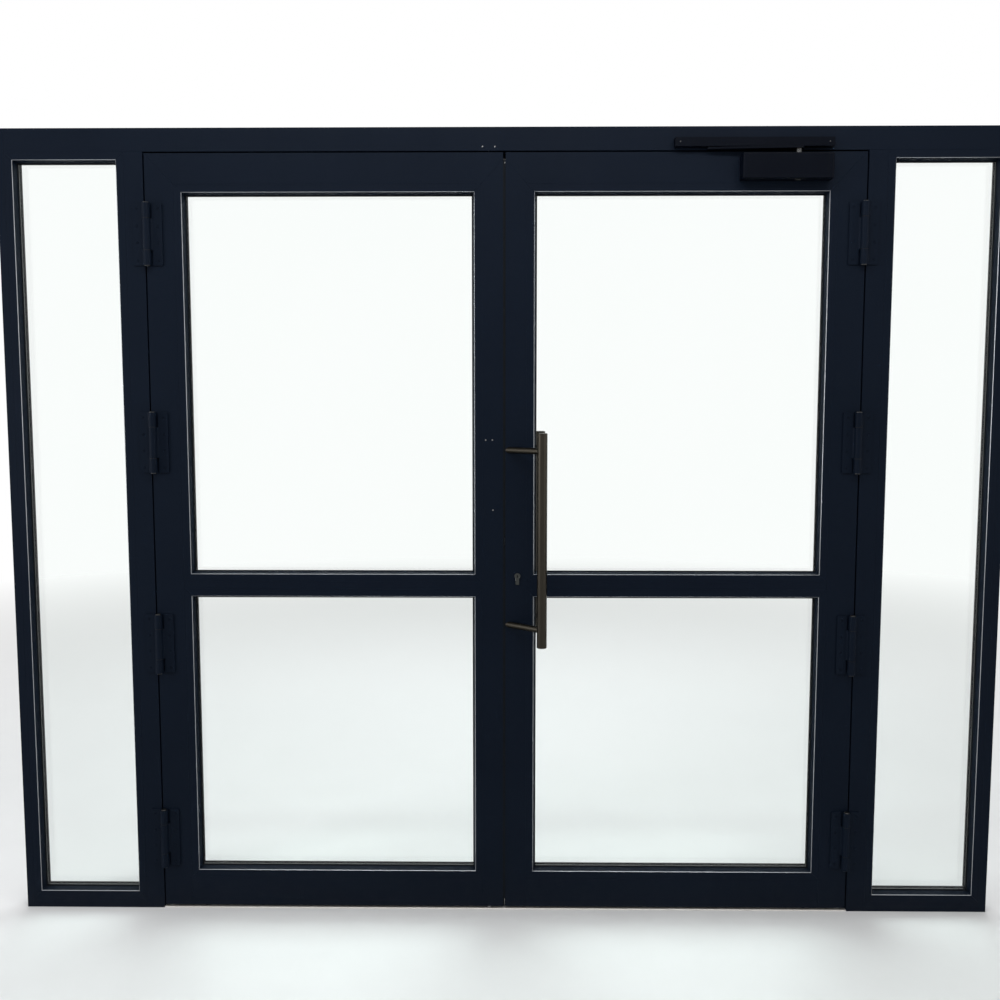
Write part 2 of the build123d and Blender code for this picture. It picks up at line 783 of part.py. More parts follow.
def lock_cylinder():
    """The cylinder's body: bored for the plug, and open in the middle for the cam."""
    body = through_cylinder(cylinder_outline(), -cylinder_projection,
                            profile_depth + cylinder_projection)
    cam_start = lock_y - cam_thickness / 2 - cam_clearance
    cam_end = lock_y + cam_thickness / 2 + cam_clearance
    body -= crosswise(lock_x, lock_height, inner_y - cylinder_projection, cam_end,
                      plug_radius + plug_play)
    body -= block(lock_x - cylinder_round, lock_x + cylinder_round, cam_start, cam_end,
                  lock_height - cam_reach - cam_clearance, lock_height + cylinder_round)
    return body


def cylinder_plug():
    """The plug with its keyway and the cam that drives the bolt."""
    front = inner_y - cylinder_projection
    cam_start = lock_y - cam_thickness / 2
    plug = crosswise(lock_x, lock_height, front, cam_start, plug_radius)
    hub = crosswise(lock_x, lock_height, cam_start, cam_start + cam_thickness, cylinder_round / 2)
    lobe_tip = crosswise(lock_x, lock_height, cam_start, cam_start + cam_thickness, cam_reach)
    lobe = lobe_tip & block(lock_x - cam_width / 2, lock_x + cam_width / 2, cam_start,
                            cam_start + cam_thickness, lock_height - cam_reach, lock_height)
    keyway = block(lock_x - keyway_width / 2, lock_x + keyway_width / 2, front,
                   front + keyway_depth, lock_height - keyway_height / 2,
                   lock_height + keyway_height / 2)
    return plug + hub + lobe - keyway


def bolt_body(x0, x1, centre, height, extra=0.0):
    """The cross-section of a sliding bolt, or with extra the hole that it runs in."""
    half = bolt_thickness / 2 + extra
    return block(x0, x1, lock_y - half, lock_y + half, centre - height / 2 - extra,
                 centre + height / 2 + extra)


def deadbolt():
    """The square bolt, at rest just behind the faceplate."""
    start = meeting_edge + deadbolt_set_back
    bolt = bolt_body(start, start + deadbolt_length, deadbolt_centre, deadbolt_height)
    nose = bolt.edges().filter_by(Axis.Z).group_by(Axis.X)[0]
    return chamfer(nose, deadbolt_set_back)


def latch_bolt():
    """The spring catch with a rounded nose."""
    radius = bolt_thickness / 2
    start = meeting_edge - latch_projection
    body = bolt_body(start + radius, start + latch_length, latch_centre, latch_height)
    nose = upright(start + radius, lock_y, latch_centre - latch_height / 2,
                   latch_centre + latch_height / 2, radius)
    return body + nose


def edge_plate(x0, bottom, top):
    """A plate with rounded ends that lies flush in a meeting edge, or the recess for it."""
    half = faceplate_width / 2
    plate = block(x0, meeting_edge + faceplate_thickness, lock_y - half, lock_y + half, bottom, top)
    return fillet(plate.edges().filter_by(Axis.X), half - faceplate_round_margin)


def bolt_holes(x0, x1, clearance):
    """The two holes that deadbolt and catch pass through."""
    return (bolt_body(x0, x1, deadbolt_centre, deadbolt_height, clearance)
            + bolt_body(x0, x1, latch_centre, latch_height, clearance))


def lock_faceplate():
    """The plate that closes the lock off flush with the edge of the leaf."""
    plate = edge_plate(meeting_edge, faceplate_bottom, faceplate_top)
    return plate - bolt_holes(0, 2 * meeting_edge + faceplate_thickness, bolt_clearance)


def lock_case():
    """The case of the lock, hollow, open where the bolts and the cylinder pass."""
    x0 = meeting_edge + faceplate_thickness
    x1 = x0 + case_depth
    half = case_thickness / 2
    case = block(x0, x1, lock_y - half, lock_y + half, case_bottom, case_top)
    case -= block(x0 + case_wall, x1 - case_wall, lock_y - half + case_wall,
                  lock_y + half - case_wall, case_bottom + case_wall, case_top - case_wall)
    case -= bolt_holes(meeting_edge, x0 + 2 * case_wall, bolt_clearance)
    case -= through_cylinder(cylinder_outline(cylinder_clearance), 0, profile_depth)
    return case


def strike_plate():
    """The strike in the edge of the left leaf, with holes for bolt and catch."""
    plate = edge_plate(meeting_edge, strike_bottom, strike_top)
    return mirrored(plate - bolt_holes(0, 2 * meeting_edge + faceplate_thickness, strike_clearance))


def lock_stile():
    """The right meeting stile, machined for faceplate, cylinder and the studs of the handles."""
    stile = meeting_stile()
    stile -= edge_plate(0, faceplate_bottom, faceplate_top)
    stile -= through_cylinder(cylinder_outline(cylinder_clearance), -1, profile_depth + 1)
    for height in pull_heights():
        stile -= crosswise(pull_base_x, height, inner_y - 1, outer_y + 1,
                           stud_diameter / 2 + stud_hole_clearance)
    return stile


def left_meeting_stile():
    """The left meeting stile, machined for the strike and for the thumb slides of its bolts."""
    stile = mirrored(meeting_stile() - edge_plate(0, strike_bottom, strike_top))
    for centre, down, up in ((bottom_bolt_top, bolt_throw, 0), (top_bolt_bottom, 0, bolt_throw)):
        low = centre - thumb_height / 2 - down - thumb_slot_end
        high = centre + thumb_height / 2 + up + thumb_slot_end
        half = thumb_width / 2 + shoot_bolt_clearance
        stile -= block(-meeting_edge - profile_wall - 1, -meeting_edge + 1, shoot_bolt_y - half,
                       shoot_bolt_y + half, low, high)
    return stile


# Shoot bolts

def thumb_slide(height):
    """The arm that carries a shoot bolt's thumb slide to the edge of the leaf."""
    return block(shoot_bolt_x, -meeting_edge - thumb_set_back, shoot_bolt_y - thumb_width / 2,
                 shoot_bolt_y + thumb_width / 2, height - thumb_height / 2,
                 height + thumb_height / 2)


def bottom_bolt():
    """The floor bolt, at rest drawn up to just clear of the threshold."""
    tip = threshold_height + bolt_tip_above_threshold
    rod = upright(shoot_bolt_x, shoot_bolt_y, tip, bottom_bolt_top + thumb_height / 2,
                  shoot_bolt_radius)
    end = rod.edges().filter_by(GeomType.CIRCLE).sort_by(Axis.Z)[0]
    return chamfer(end, bolt_tip_chamfer) + thumb_slide(bottom_bolt_top)


def top_bolt():
    """The head bolt, at rest drawn down inside the top of the leaf."""
    tip = leaf_top - bolt_tip_below_leaf_top
    rod = upright(shoot_bolt_x, shoot_bolt_y, top_bolt_bottom - thumb_height / 2, tip,
                  shoot_bolt_radius)
    end = rod.edges().filter_by(GeomType.CIRCLE).sort_by(Axis.Z)[-1]
    return chamfer(end, bolt_tip_chamfer) + thumb_slide(top_bolt_bottom)


def bolt_keeper():
    """The block in the head that the top bolt shoots into."""
    z0 = opening_top + profile_wall
    y0 = inner_y + profile_wall
    keeper = block(shoot_bolt_x - keeper_width / 2, shoot_bolt_x + keeper_width / 2, y0,
                   y0 + room_chamber_depth, z0, z0 + keeper_height)
    return keeper - upright(shoot_bolt_x, shoot_bolt_y, z0 - 1, z0 + keeper_height + 1,
                            shoot_bolt_radius + shoot_bolt_clearance)


# Closer

def closer_body():
    """The closer's housing, rounded on the room side, bored for the spindle."""
    x0 = closer_right - closer_length
    z0 = closer_top - closer_height
    body = block(x0, closer_right, inner_y - closer_depth, inner_y, z0, closer_top)
    corners = body.edges().filter_by(Axis.Z).group_by(Axis.Y)[0]
    body = fillet(corners, closer_corner)
    body = fillet(body.faces().sort_by(Axis.Y)[0].edges(), closer_edge)
    return body - upright(spindle_x, spindle_y, z0 - 1, closer_top + 1, spindle_radius + spindle_play)


def closer_spindle():
    """The turned spindle: a cap below the housing and a neck that carries the arm."""
    bottom = closer_top - closer_height - spindle_tip
    profile = Polygon((0, bottom), (spindle_radius - spindle_tip_chamfer, bottom),
                      (spindle_radius, bottom + spindle_tip_chamfer),
                      (spindle_radius, arm_bottom), (spindle_neck_radius, arm_bottom),
                      (spindle_neck_radius, arm_top), (0, arm_top), align=None)
    return Pos(spindle_x, spindle_y, 0) * revolve(Plane.XZ * profile, axis=Axis.Z)


def closer_arm():
    """The arm from the spindle to the slider, above the leaf and below the rail."""
    hub = Pos(spindle_x, spindle_y) * Circle(arm_hub_radius)
    end = Pos(slider_x, rail_y) * Circle(arm_end_radius)
    outline = make_hull([*hub.edges(), *end.edges()])
    outline -= Pos(spindle_x, spindle_y) * Circle(spindle_neck_radius)
    arm = Pos(0, 0, arm_bottom) * extrude(outline, amount=arm_thickness, dir=(0, 0, 1))
    return arm + upright(slider_x, rail_y, arm_top, arm_top + arm_pivot_height, arm_pivot_radius)


def closer_rail():
    """The slide rail on the head: a channel open downwards along a slot."""
    section = area(0, rail_depth, 0, rail_height)
    section -= area(rail_wall, rail_depth - rail_wall, rail_wall, rail_height - rail_wall)
    slot = (rail_depth - rail_slot) / 2
    section -= area(slot, rail_depth - slot, -1, rail_wall + 1)
    place = Plane(origin=(rail_left, inner_y - rail_depth, rail_bottom), x_dir=(0, 1, 0),
                  z_dir=(1, 0, 0))
    return extrude(place * section, amount=rail_length)


def closer_slider():
    """The slider in the rail, with the stem that the arm's end turns on."""
    half = rail_depth / 2 - rail_wall - slider_clearance
    z0 = rail_bottom + rail_wall + slider_clearance
    slider = block(slider_x - slider_length / 2, slider_x + slider_length / 2, rail_y - half,
                   rail_y + half, z0, z0 + slider_height)
    stem_bottom = arm_top + arm_pivot_height + linkage_gap
    return slider + upright(slider_x, rail_y, stem_bottom, z0, arm_pivot_radius)


# Assembly: every node by name

def frame_nodes():
    """Everything that stays with the frame."""
    jamb = right_jamb()
    mullion = right_mullion()
    sill = right_sill()
    side_glass = glass_unit(right_side_opening)
    side_beads = beads(right_side_opening)
    side_gaskets = gaskets(right_side_opening)
    plates = [hinge_frame_part(z0) for z0 in hinge_bottoms()]
    pins = [hinge_pin(z0) for z0 in hinge_bottoms()]
    return {
        "left_jamb": mirrored(jamb),
        "right_jamb": jamb,
        "left_mullion": mirrored(mullion),
        "right_mullion": mullion,
        "head": head(),
        "left_sill": mirrored(sill),
        "right_sill": sill,
        "threshold": threshold(),
        "left_side_glass": mirrored(side_glass),
        "right_side_glass": side_glass,
        "side_beads": group(*side_beads, *[mirrored(bead) for bead in side_beads]),
        "frame_gaskets": group(*side_gaskets, *[mirrored(gasket) for gasket in side_gaskets],
                               *stop_seals()),
        "frame_connectors": group(*frame_connectors()),
        "hinge_frame_parts": group(*plates, *[mirrored(plate) for plate in plates]),
        "hinge_pins": group(*pins, *[mirrored(pin) for pin in pins]),
        "bolt_keeper": bolt_keeper(),
        "closer_rail": closer_rail(),
    }


def leaf_parts(room_reach, outer_reach):
    """The pieces that both leaves share, modelled on the right."""
    upper, lower = right_upper_opening, right_lower_opening
    return {
        "hinge_stile": hinge_stile(),
        "top_rail": top_rail(),
        "middle_rail": middle_rail(),
        "bottom_rail": bottom_rail(),
        "upper_glass": glass_unit(upper),
        "lower_glass": glass_unit(lower),
        "beads": group(*beads(upper), *beads(lower)),
        "gaskets": group(*gaskets(upper), *gaskets(lower), *meeting_seals(room_reach, outer_reach)),
        "bottom_brush": bottom_brush(),
        "connectors": group(*leaf_connectors()),
        "hinge_parts": group(*[hinge_leaf_part(z0) for z0 in hinge_bottoms()]),
        "hinge_bushes": group(*[bush for z0 in hinge_bottoms() for bush in hinge_bushes(z0)]),
    }


def right_leaf_nodes():
    """The working leaf with lock, pull handles and closer."""
    room_reach = meeting_edge - meeting_slit_offset - meeting_slit / 2
    parts = leaf_parts(room_reach, outer_seal_reach)
    nodes = {"right_" + name: shape for name, shape in parts.items()}
    rods = [pull_rod(side, height) for side in (-1, 1) for height in pull_heights()]
    nodes.update({
        "right_lock_stile": lock_stile(),
        "lock_case": lock_case(),
        "lock_faceplate": lock_faceplate(),
        "lock_cylinder": lock_cylinder(),
        "cylinder_plug": cylinder_plug(),
        "deadbolt": deadbolt(),
        "latch_bolt": latch_bolt(),
        "inner_pull_bar": pull_bar(-1),
        "outer_pull_bar": pull_bar(1),
        "pull_rods": group(*rods),
        "pull_studs": group(*[pull_stud(height) for height in pull_heights()]),
        "closer_body": closer_body(),
        "closer_spindle": closer_spindle(),
        "closer_arm": closer_arm(),
        "closer_slider": closer_slider(),
    })
    return nodes


def left_leaf_nodes():
    """The second leaf with its strike and shoot bolts."""
    room_reach = meeting_edge + meeting_slit_offset - meeting_slit / 2
    parts = leaf_parts(room_reach, outer_seal_reach_left)
    nodes = {"left_" + name: mirrored(shape) for name, shape in parts.items()}
    nodes["left_top_rail"] -= upright(shoot_bolt_x, shoot_bolt_y, top_bolt_bottom, leaf_top + 1,
                                      shoot_bolt_radius + shoot_bolt_clearance)
    nodes.update({
        "left_meeting_stile": left_meeting_stile(),
        "strike_plate": strike_plate(),
        "top_bolt": top_bolt(),
        "bottom_bolt": bottom_bolt(),
    })
    return nodes


os.makedirs("parts", exist_ok=True)
for make_nodes in (frame_nodes, right_leaf_nodes, left_leaf_nodes):
    for name, shape in make_nodes().items():
        export_step(shape, "parts/" + name + ".step")
        print(name)
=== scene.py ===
# %% [markdown]
# # A glass entrance door
#
# The door stands as a measured frame: profiles, glass, hinges and lock are already there as solids.
# This lesson dresses them. It gives each metal, glass and rubber its finish, and it models the
# small things that a drawing leaves out: screw heads, brush bristles and drainage caps.
# The frame is loaded first. The looks may not grow beyond it.

# %% Load the frame
import math

import bmesh
import bpy
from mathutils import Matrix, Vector


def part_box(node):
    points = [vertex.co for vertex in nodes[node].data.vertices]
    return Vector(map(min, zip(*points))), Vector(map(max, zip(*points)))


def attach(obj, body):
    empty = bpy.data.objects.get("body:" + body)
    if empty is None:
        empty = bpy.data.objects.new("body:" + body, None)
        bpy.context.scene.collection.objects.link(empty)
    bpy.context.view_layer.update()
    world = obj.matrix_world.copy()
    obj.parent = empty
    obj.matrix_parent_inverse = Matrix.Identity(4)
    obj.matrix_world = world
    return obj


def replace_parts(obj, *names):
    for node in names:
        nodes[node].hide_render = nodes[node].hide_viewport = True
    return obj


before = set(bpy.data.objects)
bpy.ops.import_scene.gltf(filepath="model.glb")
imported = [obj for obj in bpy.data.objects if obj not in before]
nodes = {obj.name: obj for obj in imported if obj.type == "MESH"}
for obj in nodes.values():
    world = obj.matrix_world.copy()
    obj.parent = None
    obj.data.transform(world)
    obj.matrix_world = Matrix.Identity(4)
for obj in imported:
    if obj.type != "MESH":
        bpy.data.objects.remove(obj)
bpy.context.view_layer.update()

MM = 0.001

# %% [markdown]
# ## Writing node networks as sentences
#
# Materials and Geometry Nodes are both networks of nodes, and long lists of links are hard to read.
# One method adds any node: its settings come first, since they decide which sockets it shows, and
# then the values or links of its sockets. One small class wraps an output so that Python's own
# signs make the Math nodes. An edge mask then reads `1 - mask`, as it would on paper.

# %% A number that Python's signs work on
class Number:
    """An output socket. Adding, multiplying and dividing it makes Math nodes."""

    def __init__(self, network, socket):
        self.network = network
        self.socket = socket

    def maths(self, operation, *others, clamp=False):
        settings = {"operation": operation, "use_clamp": clamp}
        inputs = dict(enumerate((self,) + others))
        return self.network.number("ShaderNodeMath", settings, inputs)

    def __add__(self, other):
        return self.maths("ADD", other)

    def __sub__(self, other):
        return self.maths("SUBTRACT", other)

    def __mul__(self, other):
        return self.maths("MULTIPLY", other)

    def __truediv__(self, other):
        return self.maths("DIVIDE", other)

    def __pow__(self, other):
        return self.maths("POWER", other)

    def __abs__(self):
        return self.maths("ABSOLUTE")

    def __radd__(self, other):
        return self + other

    def __rmul__(self, other):
        return self * other

    def __rsub__(self, other):
        return self * -1.0 + other

    def within(self, centre, reach, soft):
        """1 where the value lies within reach of centre, fading to 0 over soft."""
        away = abs(self - centre)
        return ((reach + soft - away) / soft).maths("ADD", 0.0, clamp=True)


# %% One method for every node
class Network:
    """A node tree with one way of adding nodes."""

    def __init__(self, tree):
        self.tree = tree

    def add(self, kind, settings=None, inputs=None):
        node = self.tree.nodes.new(kind)
        for name, value in (settings or {}).items():
            setattr(node, name, value)
        for name, value in (inputs or {}).items():
            socket = self.find(node.inputs, name)
            if isinstance(value, (list, tuple)) and value and isinstance(value[0], Number):
                for one in value:
                    self.tree.links.new(one.socket, socket)
            elif isinstance(value, Number):
                self.tree.links.new(value.socket, socket)
            else:
                socket.default_value = value
        return node

    def number(self, kind, settings=None, inputs=None, output=0):
        node = self.add(kind, settings, inputs)
        return Number(self, self.find(node.outputs, output))

    @staticmethod
    def find(sockets, name):
        if isinstance(name, int):
            return sockets[name]
        return next(s for s in sockets if s.enabled and s.name == name)


# %% [markdown]
# ## A finish
#
# Each finish is a Principled shader with a few inputs that vary over the surface. All patterns
# read Object coordinates, which are metres on the real door, so that a noise of scale 900 has
# grains of about a millimetre. Fixed values are set on the shader's own sockets.

# %% The finish class
class Finish(Network):
    """A material with a Principled shader and the patterns that feed it."""

    def __init__(self, name, **fixed):
        self.material = bpy.data.materials.new(name)
        self.material.use_nodes = True
        super().__init__(self.material.node_tree)
        self.shader = self.tree.nodes["Principled BSDF"]
        for socket, value in fixed.items():
            self.shader.inputs[socket.replace("_", " ")].default_value = value
        place = self.add("ShaderNodeTexCoord")
        self.place = Number(self, place.outputs["Object"])
        split = self.add("ShaderNodeSeparateXYZ", None, {"Vector": self.place})
        self.x, self.y, self.z = (Number(self, s) for s in split.outputs)

    def noise(self, scale, detail=3.0, stretch=None, roughness=0.5):
        """Soft noise from 0 to 1. stretch squeezes it along an axis, for brushed lines."""
        place = self.place
        if stretch:
            place = self.number("ShaderNodeMapping", None, {"Vector": place, "Scale": stretch})
        inputs = {"Vector": place, "Scale": scale, "Detail": detail, "Roughness": roughness}
        return self.number("ShaderNodeTexNoise", None, inputs, "Fac")

    def blend(self, factor, first, second):
        """One colour where factor is 0 and another where it is 1."""
        inputs = {"Factor": factor, "A": first, "B": second}
        return self.number("ShaderNodeMix", {"data_type": "RGBA"}, inputs, "Result")

    def feed(self, **links):
        for socket, value in links.items():
            self.tree.links.new(value.socket, self.shader.inputs[socket.replace("_", " ")])

    def bump(self, height, distance, strength=1.0):
        inputs = {"Height": height, "Distance": distance, "Strength": strength}
        self.feed(Normal=self.number("ShaderNodeBump", None, inputs, "Normal"))

    def on(self, *names):
        """Gives the finish to nodes of the frame."""
        for name in names:
            mesh = nodes[name].data
            mesh.materials.clear()
            mesh.materials.append(self.material)
        return self


def grey(value):
    return (value, value, value, 1.0)


# %% [markdown]
# ## Powder coat
#
# The profiles are aluminium, sprayed with a dark blue-grey powder and baked. Baked powder has a
# fine orange peel, which breaks up reflections, and it is never quite even in gloss where hands
# and cloths have rubbed it. Near the floor it carries a film of dust. All of that comes from
# noises at very different scales and from the height above the floor.

# %% The coat
COAT = (0.0012, 0.0034, 0.0084, 1.0)
COAT_CLOUD = (0.0042, 0.0080, 0.0160, 1.0)
DUST = (0.062, 0.058, 0.05, 1.0)
# The pale metal below is the colour of the painted highlight on the bead chamfers.
BARE_METAL_HIGHLIGHT = (0.74, 0.77, 0.82, 1.0)
CLOUD_SCALE, WIPE_SCALE, HAND_SCALE, DUST_SCALE = 3.2, 14.0, 30.0, 42.0
HIGHLIGHT_SCALE, PEEL_SCALE = 90.0, 620.0
PEEL_HEIGHT = 0.12 * MM
DUST_HEIGHT = 0.2
DUST_LOW, DUST_ALL_OVER = 0.07, 0.012
HAND_HEIGHT, HAND_REACH = 1.15, 0.35
SMOOTHEST = 0.4


def powder_coat(name, painted_highlight=0.0):
    """The coat. Its second argument is the share of bright bare metal painted on as a highlight,
    from 0 to 1; as metal it also mirrors the lamps.
    """
    coat = Finish(name, Specular_IOR_Level=0.05)
    clouds = coat.noise(CLOUD_SCALE, 4.0)
    wiped = coat.noise(WIPE_SCALE, 5.0, (1.0, 1.0, 0.4))
    peel = coat.noise(PEEL_SCALE, 1.0)
    low = (1.0 - coat.z / DUST_HEIGHT).maths("MAXIMUM", 0.0)
    dust = (low * low * DUST_LOW + DUST_ALL_OVER) * coat.noise(DUST_SCALE, 6.0)
    hands = coat.z.within(HAND_HEIGHT, 0.1, HAND_REACH) * abs(coat.x).within(0.0, 0.07, 0.1)
    colour = coat.blend(clouds * 0.6 + peel * 0.4, COAT, COAT_CLOUD)
    gloss = wiped * 0.18 + clouds * 0.06 + SMOOTHEST
    # Painted highlight: bright bare metal blended into the colour; it is metallic, so it also
    # mirrors the lamps.
    if painted_highlight:
        bare_highlight = (coat.noise(HIGHLIGHT_SCALE, 4.0) * 0.5 + 0.6) * painted_highlight
        colour = coat.blend(bare_highlight, colour, BARE_METAL_HIGHLIGHT)
        coat.feed(Metallic=bare_highlight)
        gloss = gloss - bare_highlight * 0.75
    colour = coat.blend(dust, colour, DUST)
    polish = hands * coat.noise(HAND_SCALE, 5.0) * 0.14
    coat.feed(Base_Color=colour, Roughness=gloss - polish)
    coat.bump(peel, PEEL_HEIGHT, 0.8)
    return coat


coat = powder_coat("blue_grey_powder_coat")
# The beads' chamfers get this coat with a painted highlight of bright bare metal.
bead_arris_highlight = powder_coat("bright_bead_arris", painted_highlight=0.6)
print("coats made:", 2)

# %% [markdown]
# ## Glass
#
# Each opening holds a sealed unit of two clear sheets with an aluminium spacer between them. Real
# float glass is faintly green, and a door that people push has smears that only show as a change
# of gloss. Light has to pass it as it passes a window, and a path tracer is slow to find that way
# through solid glass, so shadow rays meet a tinted transparent shader in place of it.

# %% Clear sheets and the spacer between them
SPACER_NEAR, SPACER_FAR = -1.5 * MM, 18.5 * MM
GREEN_GLASS, CLEAR_GLASS = (0.968, 0.988, 0.978, 1.0), (0.982, 0.994, 0.989, 1.0)
GLASS_SHADOW = (0.93, 0.965, 0.95, 1.0)
SMEAR_SCALE, TINT_SCALE = 9.0, 1.3
SMEARS_FROM, SMEAR_DULLS = 0.52, 0.09
LINE_SCALE, STAIN_SCALE = 1100.0, 17.0
LINE_STRETCH = 0.02
LINE_HEIGHT = 0.03 * MM


def clear_glass():
    glass = Finish("clear_float_glass", Transmission_Weight=1.0, IOR=1.5)
    smears = glass.noise(SMEAR_SCALE, 6.0, (1.0, 1.0, 0.35), 0.62)
    tint = glass.noise(TINT_SCALE, 2.0)
    glass.feed(
        Base_Color=glass.blend(tint, GREEN_GLASS, CLEAR_GLASS),
        Roughness=(smears - SMEARS_FROM).maths("MAXIMUM", 0.0) * SMEAR_DULLS)
    passing = glass.add("ShaderNodeBsdfTransparent", None, {"Color": GLASS_SHADOW})
    rays = glass.add("ShaderNodeLightPath")
    shadow_ray = Number(glass, rays.outputs["Is Shadow Ray"])
    both = glass.add("ShaderNodeMixShader", None, {"Fac": shadow_ray})
    output = glass.tree.nodes["Material Output"]
    glass.tree.links.new(glass.shader.outputs[0], both.inputs[1])
    glass.tree.links.new(passing.outputs[0], both.inputs[2])
    glass.tree.links.new(both.outputs[0], output.inputs["Surface"])
    return glass


def drawn_metal(name, colour, dark, along, roughness=0.3, metallic=1.0):
    """Bare aluminium, steel or brass with fine lines along one axis."""
    metal = Finish(name, Metallic=metallic)
    stretch = tuple(LINE_STRETCH if axis == along else 1.0 for axis in "XYZ")
    lines = metal.noise(LINE_SCALE, 2.0, stretch)
    stains = metal.noise(STAIN_SCALE, 5.0)
    metal.feed(Base_Color=metal.blend(lines * 0.6 + stains * 0.4, dark, colour),
               Roughness=lines * 0.12 + stains * 0.16 + roughness - 0.08)
    metal.bump(lines, LINE_HEIGHT, 0.6)
    return metal


glass = clear_glass()
spacer = drawn_metal("spacer_aluminium", grey(0.14), grey(0.09), "Z")
glass_nodes = [name for name in nodes if name.endswith("_glass")]
glass.on(*glass_nodes)
for name in glass_nodes:
    mesh = nodes[name].data
    mesh.materials.append(spacer.material)
    for face in mesh.polygons:
        if SPACER_NEAR + MM < face.center.y < SPACER_FAR - MM:
            face.material_index = 1
print("glass units:", len(glass_nodes))

# %% [markdown]
# ## Rubber, plastic and bare metal
#
# Seals are black rubber, dull, with the bloom that gathers on it. The pull bars are stainless
# steel, ground along their length, and warm in tone; their colour, like that of the nickel on the
# lock cylinder, is kept very dark as a painted reflection of a dark room. Threshold, lock plates
# and pins are bare metal, brushed along the way they were drawn. The same function makes them
# all, and the axis of its lines and two colours tell them apart.

# %% Seals and bushes
BLOOM_SCALE = 26.0
GRAIN_HEIGHT = 0.05 * MM


def dull_black(name, colour, bloom, scale, roughness=0.62):
    black = Finish(name, Specular_IOR_Level=0.06)
    cloudy = black.noise(BLOOM_SCALE, 5.0)
    grain = black.noise(scale, 2.0)
    black.feed(Base_Color=black.blend(cloudy * 0.5, colour, bloom),
               Roughness=grain * 0.2 + roughness)
    black.bump(grain, GRAIN_HEIGHT, 0.5)
    return black


RUBBER, RUBBER_BLOOM = (0.0035, 0.0045, 0.006, 1.0), (0.009, 0.011, 0.014, 1.0)
rubber = dull_black("seal_rubber", RUBBER, RUBBER_BLOOM, scale=700.0)
rubber.on("frame_gaskets", "left_gaskets", "right_gaskets")
bush_plastic = dull_black("bush_plastic", grey(0.012), grey(0.024), scale=500.0, roughness=0.4)
bush_plastic.on("left_hinge_bushes", "right_hinge_bushes", "closer_slider")

# %% Bare metals
# Very dark for steel: the bars' colour is a painted reflection of a dark room.
BAR_STEEL_PAINTED_DARK, BAR_LINES_PAINTED_DARK = (0.046, 0.041, 0.033, 1.0), (0.022, 0.0195, 0.0155, 1.0)
steel_bar = drawn_metal("ground_stainless_steel", BAR_STEEL_PAINTED_DARK, BAR_LINES_PAINTED_DARK, "Z", roughness=0.3)
steel_bar.on("inner_pull_bar", "outer_pull_bar", "pull_rods")
SILL_METAL, SILL_LINES = (0.72, 0.7, 0.66, 1.0), (0.5, 0.48, 0.45, 1.0)
sill_metal = drawn_metal("threshold_aluminium", SILL_METAL, SILL_LINES, "X",
                         roughness=0.4, metallic=0.35)
sill_metal.on("threshold")
plate = drawn_metal("lock_plate_steel", grey(0.34), grey(0.22), "Z", roughness=0.28)
plate.on("lock_faceplate", "strike_plate", "deadbolt", "latch_bolt", "top_bolt", "bottom_bolt",
         "pull_studs", "lock_case")
cast = drawn_metal("cast_corner_aluminium", grey(0.5), grey(0.34), "Y", roughness=0.45)
cast.on("left_connectors", "right_connectors", "frame_connectors", "bolt_keeper")
# Very dark for nickel: the cylinder's colour is a painted reflection of a dark room.
NICKEL_PAINTED_DARK, NICKEL_LINES_PAINTED_DARK = (0.062, 0.066, 0.063, 1.0), (0.034, 0.036, 0.035, 1.0)
nickel = drawn_metal("nickel_plated_brass", NICKEL_PAINTED_DARK, NICKEL_LINES_PAINTED_DARK, "Z", roughness=0.26)
nickel.on("lock_cylinder", "cylinder_plug")
dark_steel = drawn_metal("turned_steel", grey(0.085), grey(0.05), "X", roughness=0.32)
dark_steel.on("closer_spindle", "hinge_pins")
print("materials so far:", len(bpy.data.materials))

# %% [markdown]
# ## The closer's paint
#
# The closer is a casting with a smooth lacquer, a little glossier than the profiles. Its two end
# caps are separate, so their joints show as hairlines. They are cut into the bump and darkened by
# the distance along X, which keeps the solid untouched.

# %% Lacquer with cap joints
closer_low, closer_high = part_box("closer_body")
END_CAP, RAIL_CAP = 16 * MM, 5 * MM
JOINT_HALF, JOINT_SOFT = 0.25 * MM, 0.1 * MM
JOINT_DEPTH = 0.4 * MM
PAINT, PAINT_CLOUD = (0.0009, 0.0017, 0.0042, 1.0), (0.0020, 0.0031, 0.0064, 1.0)


def lacquer(name, joints):
    paint = Finish(name, Specular_IOR_Level=0.04)
    cloudy = paint.noise(11.0, 4.0)
    grain = paint.noise(480.0, 2.0)
    colour = paint.blend(cloudy, PAINT, PAINT_CLOUD)
    height = grain * 0.15
    for place in joints:
        line = paint.x.within(place, JOINT_HALF, JOINT_SOFT)
        colour = paint.blend(line, colour, grey(0.003))
        height = height - line
    paint.feed(Base_Color=colour, Roughness=grain * 0.1 + cloudy * 0.08 + 0.24)
    paint.bump(height, JOINT_DEPTH, 0.5)
    return paint


body_joints = (closer_low.x + END_CAP, closer_high.x - END_CAP)
lacquer("closer_lacquer", body_joints).on("closer_body")
rail_low, rail_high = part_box("closer_rail")
rail_joints = (rail_low.x + RAIL_CAP, rail_high.x - RAIL_CAP)
lacquer("rail_lacquer", rail_joints).on("closer_rail", "closer_arm")
print("closer length in mm:", round((closer_high.x - closer_low.x) / MM))

# %% [markdown]
# ## Rounded edges
#
# An extruded profile has no knife edges: its corners are rounded by about half a millimetre, and
# that small arc is what shines at the rim of a dark door. The solids have sharp corners, so each
# profile is copied, its triangles are joined into flat faces again, and its long edges are
# bevelled. Weighted normals keep the large faces flat. Where two profiles meet, two rounded ends
# make the hairline joint.

